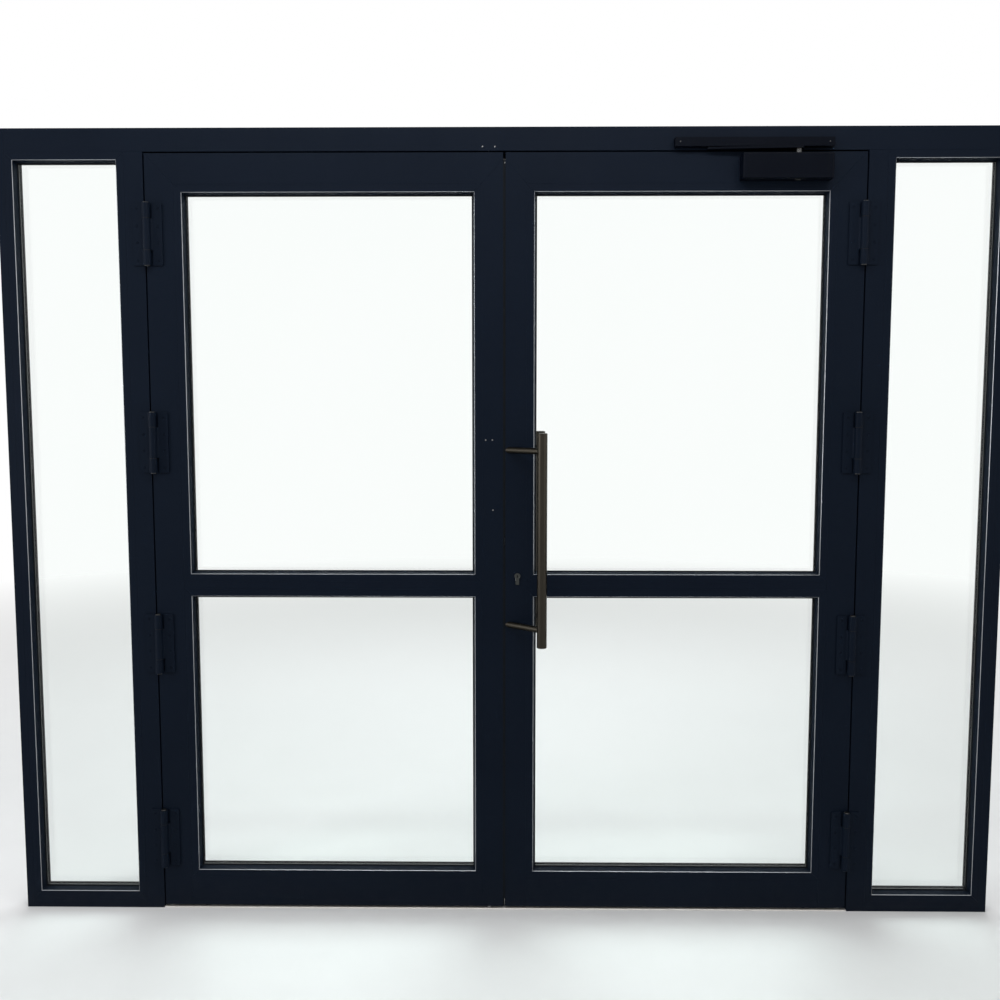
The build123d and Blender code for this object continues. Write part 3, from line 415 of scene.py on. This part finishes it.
# %% Round the long edges of a solid's copy
WELD = 0.001 * MM
FLAT_TURN = math.radians(0.3)
SHARP_TURN = math.radians(40.0)
EDGE_RADIUS, SHORTEST_EDGE = 0.5 * MM, 8 * MM


def mesh_piece(name, mesh, body):
    """A finished mesh as an object that rides on a body."""
    piece = bpy.data.objects.new(name, mesh)
    bpy.context.scene.collection.objects.link(piece)
    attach(piece, body)
    return piece


def even_shading(mesh):
    """The mesh with smooth bevels and flat faces, by weighted normals."""
    mesh.shade_smooth()
    mesh.set_sharp_from_angle(angle=SHARP_TURN)
    holder = bpy.data.objects.new("holder", mesh)
    bpy.context.scene.collection.objects.link(holder)
    weighted = holder.modifiers.new("normals", "WEIGHTED_NORMAL")
    weighted.keep_sharp = True
    evaluated = holder.evaluated_get(bpy.context.evaluated_depsgraph_get())
    shaded = bpy.data.meshes.new_from_object(evaluated)
    bpy.data.objects.remove(holder)
    return shaded


def rounded(name, body):
    """A copy of a solid with its long outer edges rounded, which stands for the solid."""
    shape = bmesh.new()
    shape.from_mesh(nodes[name].data)
    bmesh.ops.remove_doubles(shape, verts=shape.verts, dist=WELD)
    bmesh.ops.dissolve_limit(shape, angle_limit=FLAT_TURN, verts=shape.verts, edges=shape.edges)
    edges = [edge for edge in shape.edges if len(edge.link_faces) == 2 and edge.is_convex
             and edge.calc_length() > SHORTEST_EDGE and edge.calc_face_angle() > SHARP_TURN]
    bmesh.ops.bevel(shape, geom=edges, offset=EDGE_RADIUS, segments=2, profile=0.5,
                    affect="EDGES", clamp_overlap=True)
    mesh = bpy.data.meshes.new(name + "_rounded")
    shape.to_mesh(mesh)
    shape.free()
    mesh.materials.clear()
    mesh.materials.append(coat.material)
    piece = mesh_piece(name + "_coated", even_shading(mesh), body)
    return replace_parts(piece, name)


# %% The profiles
frame_profiles = ["left_jamb", "right_jamb", "left_mullion", "right_mullion", "head", "left_sill",
                  "right_sill", "hinge_frame_parts"]
leaf_profiles = ["hinge_stile", "top_rail", "middle_rail", "bottom_rail", "hinge_parts"]
for name in frame_profiles:
    rounded(name, "frame")
for side in ("left", "right"):
    for name in leaf_profiles:
        rounded(side + "_" + name, side + "_leaf")
rounded("left_meeting_stile", "left_leaf")
rounded("right_lock_stile", "right_leaf")
print("profiles rounded:", len(frame_profiles) + 2 * len(leaf_profiles) + 2)

# %% [markdown]
# ## Glazing beads
#
# Four beads clip in round each glass unit and are mitred at the corners. Their front edge is
# chamfered, and on this door it is the brightest line of all. They are modelled again from the
# section, because each needs three things that one solid for a whole leaf can't give: its own
# finish on the chamfer, a painted highlight of bright bare metal that also mirrors the lamps,
# rounded edges, and a hairline between two beads at every mitre. The chamfer is drawn half a
# millimetre wider than the solid's, so that the painted line carries as far.

# %% A bead between two mitres
BEAD_FACE, BEAD_DEPTH, BEAD_LEAN, BEAD_CHAMFER = 22 * MM, 21 * MM, 4 * MM, 1.5 * MM
GLASS_EDGE = 6 * MM
MITRE_GAP = 0.12 * MM
BEAD_SECTION = ((0.0, 0.0), (BEAD_FACE - BEAD_CHAMFER, 0.0), (BEAD_FACE, BEAD_CHAMFER),
                (BEAD_FACE + BEAD_LEAN, BEAD_DEPTH), (0.0, BEAD_DEPTH))
CHAMFER_SIDE = 1
BEAD_ROUNDING = 0.2 * MM
ROOM_FACE = -32.5 * MM


def opening_of(glass_node):
    """The clear opening between the profiles round a glass unit: x0, x1, z0, z1."""
    low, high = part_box(glass_node)
    return low.x - GLASS_EDGE, high.x + GLASS_EDGE, low.z - GLASS_EDGE, high.z + GLASS_EDGE


def add_bead(shape, start, along, inwards, length):
    """One bead: start is a corner of the opening, along and inwards are directions in its plane."""
    ends = []
    for far in (False, True):
        ring = []
        for reach, depth in BEAD_SECTION:
            run = length - reach - MITRE_GAP if far else reach + MITRE_GAP
            place = start + along * run + inwards * reach
            ring.append(shape.verts.new((place.x, ROOM_FACE + depth, place.z)))
        ends.append(ring)
    count = len(BEAD_SECTION)
    for number in range(count):
        after = (number + 1) % count
        side = shape.faces.new((ends[0][number], ends[1][number], ends[1][after], ends[0][after]))
        # The chamfer side takes the second finish, the painted highlight.
        side.material_index = 1 if number == CHAMFER_SIDE else 0
    shape.faces.new(ends[0])
    shape.faces.new(list(reversed(ends[1])))


# %% Beads round every glass unit
def glazing_beads(name, glass_nodes_round, body):
    shape = bmesh.new()
    across, up = Vector((1.0, 0.0, 0.0)), Vector((0.0, 0.0, 1.0))
    for glass_node in glass_nodes_round:
        x0, x1, z0, z1 = opening_of(glass_node)
        low, high = Vector((x0, 0.0, z0)), Vector((x1, 0.0, z1))
        add_bead(shape, low, across, up, x1 - x0)
        add_bead(shape, low, up, across, z1 - z0)
        add_bead(shape, high, -across, -up, x1 - x0)
        add_bead(shape, high, -up, -across, z1 - z0)
    bmesh.ops.recalc_face_normals(shape, faces=shape.faces)
    corners = [edge for edge in shape.edges if edge.calc_face_angle() > SHARP_TURN]
    bmesh.ops.bevel(shape, geom=corners, offset=BEAD_ROUNDING, segments=2, profile=0.5,
                    affect="EDGES", clamp_overlap=True)
    mesh = bpy.data.meshes.new(name)
    shape.to_mesh(mesh)
    shape.free()
    # The second finish, on the chamfers, carries the painted highlight.
    for finish in (coat, bead_arris_highlight):
        mesh.materials.append(finish.material)
    piece = mesh_piece(name + "_coated", even_shading(mesh), body)
    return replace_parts(piece, name)


for side in ("left", "right"):
    glazing_beads(side + "_beads", (side + "_upper_glass", side + "_lower_glass"), side + "_leaf")
glazing_beads("side_beads", ("left_side_glass", "right_side_glass"), "frame")
print("beads made:", 4 * len(glass_nodes))

# %% [markdown]
# ## A recipe for what repeats
#
# Screws, bristles and drainage caps repeat, so Geometry Nodes make them. A recipe is a node group
# with named sizes. It grows on a few points, ends in Realize Instances and Set Material, and is
# turned into a plain mesh at once, because exporters know nothing of instances.

# %% The recipe class
SOCKETS = {float: "NodeSocketFloat", int: "NodeSocketInt", tuple: "NodeSocketVector"}


class Recipe(Network):
    """A Geometry Nodes group with named sizes, grown on a mesh of points."""

    def __init__(self, name, **sizes):
        super().__init__(bpy.data.node_groups.new(name, "GeometryNodeTree"))
        face = self.tree.interface
        face.new_socket("Geometry", in_out="INPUT", socket_type="NodeSocketGeometry")
        self.keys = {}
        for size, value in sizes.items():
            socket = face.new_socket(size, in_out="INPUT", socket_type=SOCKETS[type(value)])
            socket.default_value = value
            self.keys[size] = (socket.identifier, value)
        face.new_socket("Geometry", in_out="OUTPUT", socket_type="NodeSocketGeometry")
        self.given = self.add("NodeGroupInput")
        self.points = self.size("Geometry")

    def size(self, name):
        return Number(self, self.given.outputs[name])

    def triple(self, x, y, z):
        return self.number("ShaderNodeCombineXYZ", None, {"X": x, "Y": y, "Z": z})

    def place(self, geometry, translation=(0.0, 0.0, 0.0), rotation=(0.0, 0.0, 0.0)):
        inputs = {"Geometry": geometry, "Translation": translation, "Rotation": rotation}
        return self.number("GeometryNodeTransform", None, inputs, "Geometry")

    def finish(self, geometry, finish):
        real = self.number("GeometryNodeRealizeInstances", None, {"Geometry": geometry})
        inputs = {"Geometry": real, "Material": finish.material}
        done = self.number("GeometryNodeSetMaterial", None, inputs)
        self.add("NodeGroupOutput", None, {"Geometry": done})

    def grow(self, name, points, body, slot, facing=None):
        """Runs the recipe on points and leaves one plain mesh that rides on a body."""
        seed = bpy.data.meshes.new(name + "_points")
        seed.from_pydata([Vector(p) for p in points], [], [])
        if facing:
            directions = seed.attributes.new("facing", "FLOAT_VECTOR", "POINT")
            directions.data.foreach_set("vector", [c for f in facing for c in f])
        source = bpy.data.objects.new(name + "_source", seed)
        bpy.context.scene.collection.objects.link(source)
        modifier = source.modifiers.new("recipe", "NODES")
        modifier.node_group = self.tree
        for identifier, value in self.keys.values():
            modifier[identifier] = value
        evaluated = source.evaluated_get(bpy.context.evaluated_depsgraph_get())
        mesh = bpy.data.meshes.new_from_object(evaluated)
        source.modifiers.remove(modifier)
        bpy.data.objects.remove(source)
        print(name, "faces:", len(mesh.polygons))
        return mesh_piece(name, mesh, body)


# %% [markdown]
# ## Screw heads
#
# Countersunk screws hold the hinge plates, the lock's faceplate, the strike and the threshold,
# and a few small bright ones mark the shoot bolts' guides. A head is a shallow cone with a cross
# cut into it. It is turned to face the way its point says, and then by a random amount round its
# own axis, because no fitter leaves all the crosses in line.

# %% The screw recipe
HEAD_TOP, CROSS_LENGTH, CROSS_WIDTH = 0.82, 1.15, 0.24


def screw_recipe(name, finish, radius, height, seed):
    """Heads with crosses. The three shares above are of the head's radius."""
    recipe = Recipe(name, Radius=radius, Height=height, Seed=seed)
    size = recipe.size("Radius")
    tall = recipe.size("Height")
    head = recipe.number("GeometryNodeMeshCone", {"fill_type": "NGON"}, {
        "Vertices": 20, "Radius Top": size * HEAD_TOP, "Radius Bottom": size, "Depth": tall})
    bars = []
    for quarter in (0.0, math.pi / 2):
        bar = recipe.number("GeometryNodeMeshCube", None, {
            "Size": recipe.triple(size * CROSS_LENGTH, size * CROSS_WIDTH, tall)})
        bars.append(recipe.place(bar, recipe.triple(0.0, 0.0, tall), (0.0, 0.0, quarter)))
    cut = recipe.number("GeometryNodeMeshBoolean", {"operation": "DIFFERENCE"}, {
        "Mesh 1": head, "Mesh 2": bars})
    facing = recipe.number("GeometryNodeInputNamedAttribute", {"data_type": "FLOAT_VECTOR"},
                           {"Name": "facing"})
    turn = recipe.number("FunctionNodeAlignRotationToVector", {"axis": "Z"}, {"Vector": facing})
    heads = recipe.number("GeometryNodeInstanceOnPoints", None, {
        "Points": recipe.points, "Instance": cut, "Rotation": turn})
    spin = recipe.number("FunctionNodeRandomValue", {"data_type": "FLOAT"}, {
        "Max": math.tau, "Seed": recipe.size("Seed")}, "Value")
    heads = recipe.number("GeometryNodeRotateInstances", None, {
        "Instances": heads, "Rotation": recipe.triple(0.0, 0.0, spin), "Local Space": True})
    recipe.finish(heads, finish)
    return recipe


screw_coat = powder_coat("coated_screw")
dark_screws = screw_recipe("coated_screws", screw_coat, radius=4.2 * MM, height=0.8 * MM, seed=3)
plate_screws = screw_recipe("plate_screws", plate, radius=3.6 * MM, height=0.5 * MM, seed=5)
small_screws = screw_recipe("small_screws", plate, radius=2.1 * MM, height=0.9 * MM, seed=7)
rail_screws = screw_recipe("rail_screws", dark_steel, radius=2.1 * MM, height=0.9 * MM, seed=9)

# %% Where the hinge screws go
ROOM = (0.0, -1.0, 0.0)
hinge_low, hinge_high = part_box("hinge_frame_parts")
pin_low, pin_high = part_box("hinge_pins")
print("hinge pins reach in x from", round(pin_low.x / MM), "to", round(pin_high.x / MM), "mm")
HINGES = 4
HINGE_LENGTH = 170 * MM
PLATE_FRONT = -36.5 * MM
FRAME_PLATE_X, LEAF_PLATE_X = 1020 * MM, 960 * MM
SCREWS_UP = (14, 62, 108, 156)
hinge_step = (hinge_high.z - hinge_low.z - HINGE_LENGTH) / (HINGES - 1)
screw_heights = [hinge_low.z + number * hinge_step + up * MM
                 for number in range(HINGES) for up in SCREWS_UP]


def hinge_screws(name, body, x):
    points = [(x, PLATE_FRONT, z) for z in screw_heights]
    return dark_screws.grow(name, points, body, "coated_aluminium", [ROOM] * len(points))


hinge_screws("right_leaf_hinge_screws", "right_leaf", LEAF_PLATE_X)
hinge_screws("left_leaf_hinge_screws", "left_leaf", -LEAF_PLATE_X)
frame_points = [(side * FRAME_PLATE_X, PLATE_FRONT, z) for side in (-1, 1) for z in screw_heights]
dark_screws.grow("frame_hinge_screws", frame_points, "frame", "coated_aluminium",
                 [ROOM] * len(frame_points))

# %% Screws of lock, strike and threshold
face_low, face_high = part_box("lock_faceplate")
strike_low, strike_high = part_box("strike_plate")
LEFTWARDS, RIGHTWARDS, UPWARDS = (-1.0, 0.0, 0.0), (1.0, 0.0, 0.0), (0.0, 0.0, 1.0)
MIDDLE = 0.0
END = 11 * MM


def end_screws(name, x, low, high, body, facing):
    """Two screws, one near each end of an upright plate."""
    points = [(x, MIDDLE, low + END), (x, MIDDLE, high - END)]
    return plate_screws.grow(name, points, body, "stainless_steel", [facing] * 2)


end_screws("faceplate_screws", face_low.x, face_low.z, face_high.z, "right_leaf", LEFTWARDS)
end_screws("strike_screws", strike_high.x, strike_low.z, strike_high.z, "left_leaf", RIGHTWARDS)
THRESHOLD_TOP = 3 * MM
THRESHOLD_SCREW_Y = -16 * MM
THRESHOLD_SCREWS_X = (-880, -440, 120, 440, 880)
threshold_points = [(x * MM, THRESHOLD_SCREW_Y, THRESHOLD_TOP) for x in THRESHOLD_SCREWS_X]
plate_screws.grow("threshold_screws", threshold_points, "frame", "stainless_steel",
                  [UPWARDS] * len(threshold_points))

# %% Small bright screws on the room side
KEEPER_SCREWS = ((-60.3, 2183.0), (-26.2, 2183.0))
GUIDE_SCREWS = ((-52.3, 1377.6), (-33.5, 1377.6), (-31.9, 1179.0))


def room_side_screws(name, places, body):
    points = [(x * MM, ROOM_FACE, z * MM) for x, z in places]
    return small_screws.grow(name, points, body, "stainless_steel", [ROOM] * len(points))


room_side_screws("head_keeper_screws", KEEPER_SCREWS, "frame")
room_side_screws("bolt_guide_screws", GUIDE_SCREWS, "left_leaf")

# %% Screws and valves of the closer
RAIL_SCREW_IN = 14 * MM
VALVE_BACK = 20 * MM
VALVES_UP = (24, 44)
rail_middle = (rail_low.z + rail_high.z) / 2
rail_points = [(x, rail_low.y, rail_middle)
               for x in (rail_low.x + RAIL_SCREW_IN, rail_high.x - RAIL_SCREW_IN)]
rail_screws.grow("rail_screws", rail_points, "frame", "pin_steel", [ROOM] * 2)
valve_points = [(closer_high.x, closer_low.y + VALVE_BACK, closer_low.z + up * MM)
                for up in VALVES_UP]
small_screws.grow("closer_valves", valve_points, "right_leaf", "stainless_steel",
                  [RIGHTWARDS] * 2)

# %% [markdown]
# ## Brush seals
#
# Under each leaf a brush closes the gap to the threshold. The solid is a plain strip, which is
# right for its place and size but looks like rubber. Here it is an aluminium holder with some
# eighteen hundred bristles in three rows. Each bristle is a pointed sliver that leans a little.

# %% The bristle recipe
BRISTLE_STEP = 1.6 * MM
BRISTLE_THICK, BRISTLE_TIP = 0.45 * MM, 0.45
BRISTLE_LEAN, BRISTLE_TURN = 0.13, 1.5
ROWS = 3


def bristle_recipe(finish, length, width, height):
    count = int(length / BRISTLE_STEP)
    recipe = Recipe("bristles", Length=length, Width=width, Height=height,
                    Thickness=BRISTLE_THICK, Lean=BRISTLE_LEAN, Seed=11)
    rows = recipe.number("GeometryNodeMeshGrid", None, {
        "Size X": recipe.size("Length"), "Size Y": recipe.size("Width"),
        "Vertices X": count, "Vertices Y": ROWS})
    sliver = recipe.number("GeometryNodeMeshCone", {"fill_type": "NGON"}, {
        "Vertices": 4, "Radius Top": recipe.size("Thickness"),
        "Radius Bottom": recipe.size("Thickness") * BRISTLE_TIP,
        "Depth": recipe.size("Height")})
    hung = recipe.place(sliver, recipe.triple(0.0, 0.0, recipe.size("Height") * -1.0))
    lean = recipe.size("Lean")
    tilt = recipe.number("FunctionNodeRandomValue", {"data_type": "FLOAT_VECTOR"}, {
        "Min": recipe.triple(lean * -1.0, lean * -1.0, 0.0),
        "Max": recipe.triple(lean, lean, BRISTLE_TURN), "Seed": recipe.size("Seed")}, "Value")
    bristles = recipe.number("GeometryNodeInstanceOnPoints", None, {
        "Points": rows, "Instance": hung, "Rotation": tilt})
    start = recipe.number("GeometryNodeInputPosition", None, None)
    first = recipe.number("GeometryNodeSampleIndex", {"data_type": "FLOAT_VECTOR"}, {
        "Geometry": recipe.points, "Value": start, "Index": 0})
    recipe.finish(recipe.place(bristles, first), finish)
    return recipe


# %% Grow the bristles and press the holders
def strip(name, outline, x0, x1, finish, body, edge=0.25 * MM):
    """A strip along X with the given outline across it, its edges a little rounded."""
    mesh = bpy.data.meshes.new(name)
    shape = bmesh.new()
    ends = [[shape.verts.new((x, y, z)) for y, z in outline] for x in (x0, x1)]
    for number in range(len(outline)):
        after = (number + 1) % len(outline)
        shape.faces.new((ends[0][number], ends[0][after], ends[1][after], ends[1][number]))
    shape.faces.new(reversed(ends[0]))
    shape.faces.new(ends[1])
    long_edges = [e for e in shape.edges if abs(e.verts[0].co.x - e.verts[1].co.x) > edge]
    bmesh.ops.bevel(shape, geom=long_edges, offset=edge, segments=2, affect="EDGES")
    bmesh.ops.recalc_face_normals(shape, faces=shape.faces)
    shape.to_mesh(mesh)
    shape.free()
    mesh.materials.append(finish.material)
    return mesh_piece(name, mesh, body)


brush_hair = dull_black("brush_hair", grey(0.006), grey(0.022), scale=900.0, roughness=0.55)
brush_low, brush_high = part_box("right_bottom_brush")
HOLDER_DROP = 2 * MM
SLOT_HALF = 2.6 * MM
HAIR_WIDTH = 3.6 * MM
HAIR_SHORTER, HAIR_LOWER = 2 * MM, 0.1 * MM
brush_y = (brush_low.y + brush_high.y) / 2
hair_height = brush_high.z - HOLDER_DROP - brush_low.z - HAIR_LOWER
hair_length = brush_high.x - brush_low.x - HAIR_SHORTER
bristles = bristle_recipe(brush_hair, hair_length, HAIR_WIDTH, hair_height)
holder_metal = drawn_metal("brush_holder_aluminium", grey(0.5), grey(0.34), "X", roughness=0.34)
top, low = brush_high.z, brush_high.z - HOLDER_DROP
middle = (top + low) / 2
inner, outer = SLOT_HALF, (brush_high.y - brush_low.y) / 2
outline = [(brush_y - outer, low), (brush_y - inner, low), (brush_y - inner, middle),
           (brush_y + inner, middle), (brush_y + inner, low), (brush_y + outer, low),
           (brush_y + outer, top), (brush_y - outer, top)]
for side, sign in (("right", 1), ("left", -1)):
    middle_x = sign * (brush_low.x + brush_high.x) / 2
    hair = bristles.grow(side + "_brush_bristles", [(middle_x, brush_y, low)], side + "_leaf",
                         "brush")
    ends = sorted((sign * brush_low.x, sign * brush_high.x))
    strip(side + "_brush_holder", outline, ends[0], ends[1], holder_metal, side + "_leaf")
    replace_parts(hair, side + "_bottom_brush")
print("brush seals replaced:", 2)

# %% [markdown]
# ## Drainage caps
#
# Rain that gets behind the outer gasket leaves through slots in the outer lip under each glass
# unit, and a small plastic cap keeps the wind out of each slot. A cap is a rounded rectangle,
# filled, drawn outwards and narrowed at its front, which gives it its sloping rim.

# %% The cap recipe
CORNER_SHARE = 0.48


def cap_recipe(finish):
    recipe = Recipe("drainage_caps", Width=28.0 * MM, Height=7.0 * MM, Depth=2.2 * MM, Rim=0.82)
    outline = recipe.number("GeometryNodeCurvePrimitiveQuadrilateral", None, {
        "Width": recipe.size("Width"), "Height": recipe.size("Height")})
    oblong = recipe.number("GeometryNodeFilletCurve", {"mode": "POLY"}, {
        "Curve": outline, "Count": 6, "Radius": recipe.size("Height") * CORNER_SHARE})
    flat = recipe.number("GeometryNodeFillCurve", {"mode": "NGONS"}, {"Curve": oblong})
    raised = recipe.add("GeometryNodeExtrudeMesh", {"mode": "FACES"}, {
        "Mesh": flat, "Offset Scale": recipe.size("Depth"), "Individual": False})
    body = Number(recipe, raised.outputs["Mesh"])
    front = Number(recipe, raised.outputs["Top"])
    domed = recipe.number("GeometryNodeScaleElements", None, {
        "Geometry": body, "Selection": front, "Scale": recipe.size("Rim")})
    facing = recipe.number("GeometryNodeInputNamedAttribute", {"data_type": "FLOAT_VECTOR"},
                           {"Name": "facing"})
    turn = recipe.number("FunctionNodeAlignRotationToVector", {"axis": "Z"}, {"Vector": facing})
    caps = recipe.number("GeometryNodeInstanceOnPoints", None, {
        "Points": recipe.points, "Instance": domed, "Rotation": turn})
    recipe.finish(caps, finish)
    return recipe


cap_plastic = dull_black("cap_plastic", grey(0.01), grey(0.02), scale=600.0, roughness=0.42)
caps = cap_recipe(cap_plastic)
OUTER_FACE = 32.5 * MM
OUT = (0.0, 1.0, 0.0)
CAP_UP = 7 * MM
LEAF_CAPS_X, SIDE_CAPS_X = (250, 730), (1130, 1310)
LEAF_RAILS_Z, SILL_Z = (95.5, 973.25), 29
leaf_caps = [(x * MM, OUTER_FACE, z * MM + CAP_UP) for x in LEAF_CAPS_X for z in LEAF_RAILS_Z]
for side, sign in (("right", 1), ("left", -1)):
    points = [(sign * x, y, z) for x, y, z in leaf_caps]
    caps.grow(side + "_leaf_caps", points, side + "_leaf", "coated_aluminium", [OUT] * len(points))
side_points = [(sign * x * MM, OUTER_FACE, SILL_Z * MM + CAP_UP)
               for sign in (-1, 1) for x in SIDE_CAPS_X]
caps.grow("side_panel_caps", side_points, "frame", "coated_aluminium", [OUT] * len(side_points))

# %% [markdown]
# ## Floor, light and camera
#
# The door stands on a plain pale floor in soft light. The world is white to the camera, in the
# gloss of the metals and through the glass, and dimmer where it only lights the door, so that the
# dark coat stays dark. Two lamps stand where the chamfers of the beads mirror them to the camera,
# and where no pane does. The camera stands at eye height, three metres into the room, and looks a
# little down, as in the picture.

# %% The rays that see white
def seen_rays(network):
    """1 for the rays that show the surroundings: to the camera, in gloss and through glass."""
    rays = network.add("ShaderNodeLightPath")
    camera_ray, glossy_ray, passing_ray = (
        Number(network, rays.outputs[f"Is {kind} Ray"])
        for kind in ("Camera", "Glossy", "Transmission"))
    return (camera_ray + glossy_ray).maths("ADD", passing_ray, clamp=True)


# %% The floor
floor_mesh = bpy.data.meshes.new("floor")
FLOOR_HALF = 14.0
NEAR_FLOOR, FAR_FLOOR = 2.2, 7.0
corners = [(-FLOOR_HALF, -FLOOR_HALF, 0.0), (FLOOR_HALF, -FLOOR_HALF, 0.0),
           (FLOOR_HALF, FLOOR_HALF, 0.0), (-FLOOR_HALF, FLOOR_HALF, 0.0)]
floor_mesh.from_pydata(corners, [], [(0, 1, 2, 3)])
floor = bpy.data.objects.new("floor", floor_mesh)
bpy.context.scene.collection.objects.link(floor)
floor_finish = Finish("pale_floor", Roughness=0.6)
floor_grain = floor_finish.noise(6.0, 4.0)
floor_finish.feed(Base_Color=floor_finish.blend(floor_grain, grey(0.66), grey(0.7)))
away = (floor_finish.x * floor_finish.x + floor_finish.y * floor_finish.y) ** 0.5
far = ((away - NEAR_FLOOR) / (FAR_FLOOR - NEAR_FLOOR)).maths("ADD", 0.0, clamp=True)
straight = seen_rays(floor_finish)
white = floor_finish.add("ShaderNodeEmission", None, {"Color": grey(1.0), "Strength": 1.0})
mixed = floor_finish.add("ShaderNodeMixShader", None, {"Fac": far * straight})
floor_output = floor_finish.tree.nodes["Material Output"]
floor_finish.tree.links.new(floor_finish.shader.outputs[0], mixed.inputs[1])
floor_finish.tree.links.new(white.outputs[0], mixed.inputs[2])
floor_finish.tree.links.new(mixed.outputs[0], floor_output.inputs["Surface"])
floor_mesh.materials.append(floor_finish.material)
print("floor in m:", 2 * FLOOR_HALF)

# %% The world
world = bpy.data.worlds.new("studio")
bpy.context.scene.world = world
world.use_nodes = True
sky = Network(world.node_tree)
background = world.node_tree.nodes["Background"]
FILL = 0.5
strength = seen_rays(sky) * (1.0 - FILL) + FILL
world.node_tree.links.new(strength.socket, background.inputs["Strength"])
background.inputs["Color"].default_value = grey(1.0)
print("world's strength as a light:", FILL)


# %% The lamps
def lamp(name, place, aim, size, power, colour):
    light = bpy.data.lights.new(name, "AREA")
    light.shape = "RECTANGLE"
    light.size, light.size_y = size
    light.energy = power
    light.color = colour
    thing = bpy.data.objects.new(name, light)
    thing.location = place
    thing.rotation_euler = (Vector(aim) - Vector(place)).to_track_quat("-Z", "Y").to_euler()
    thing.visible_camera = False
    thing.visible_transmission = False
    bpy.context.scene.collection.objects.link(thing)
    print("lamp:", name, "watts:", power)


DAYLIGHT, COOL, WARM = (0.95, 0.98, 1.0), (0.97, 0.98, 1.0), (1.0, 0.98, 0.95)
lamp("daylight_behind", (0.0, 3.4, 3.2), (0.0, 0.0, 1.1), (4.5, 2.5), 150.0, DAYLIGHT)
lamp("room_ceiling", (0.0, -1.3, 2.95), (0.0, -0.2, 1.0), (2.8, 0.3), 30.0, COOL)
lamp("room_left", (-3.3, -1.3, 1.7), (0.4, 0.0, 1.2), (0.5, 2.0), 40.0, COOL)
lamp("room_right", (3.6, -1.9, 1.9), (-0.4, 0.0, 1.2), (1.8, 2.4), 20.0, WARM)

# %% The camera
CAMERA_PLACE = (0.0246, -3.0592, 1.4939)
CAMERA_DOWN, CAMERA_LEFT = 5.399, 0.693
FOCAL_SHARE = 1.0735
camera_data = bpy.data.cameras.new("camera")
camera_data.sensor_width = 36.0
camera_data.lens = camera_data.sensor_width * FOCAL_SHARE
camera = bpy.data.objects.new("camera", camera_data)
camera.location = CAMERA_PLACE
camera.rotation_euler = (math.radians(90.0 - CAMERA_DOWN), 0.0, math.radians(CAMERA_LEFT))
bpy.context.scene.collection.objects.link(camera)
bpy.context.scene.camera = camera
bpy.context.scene.view_settings.view_transform = "Standard"
print("lens in mm:", round(camera_data.lens, 2))
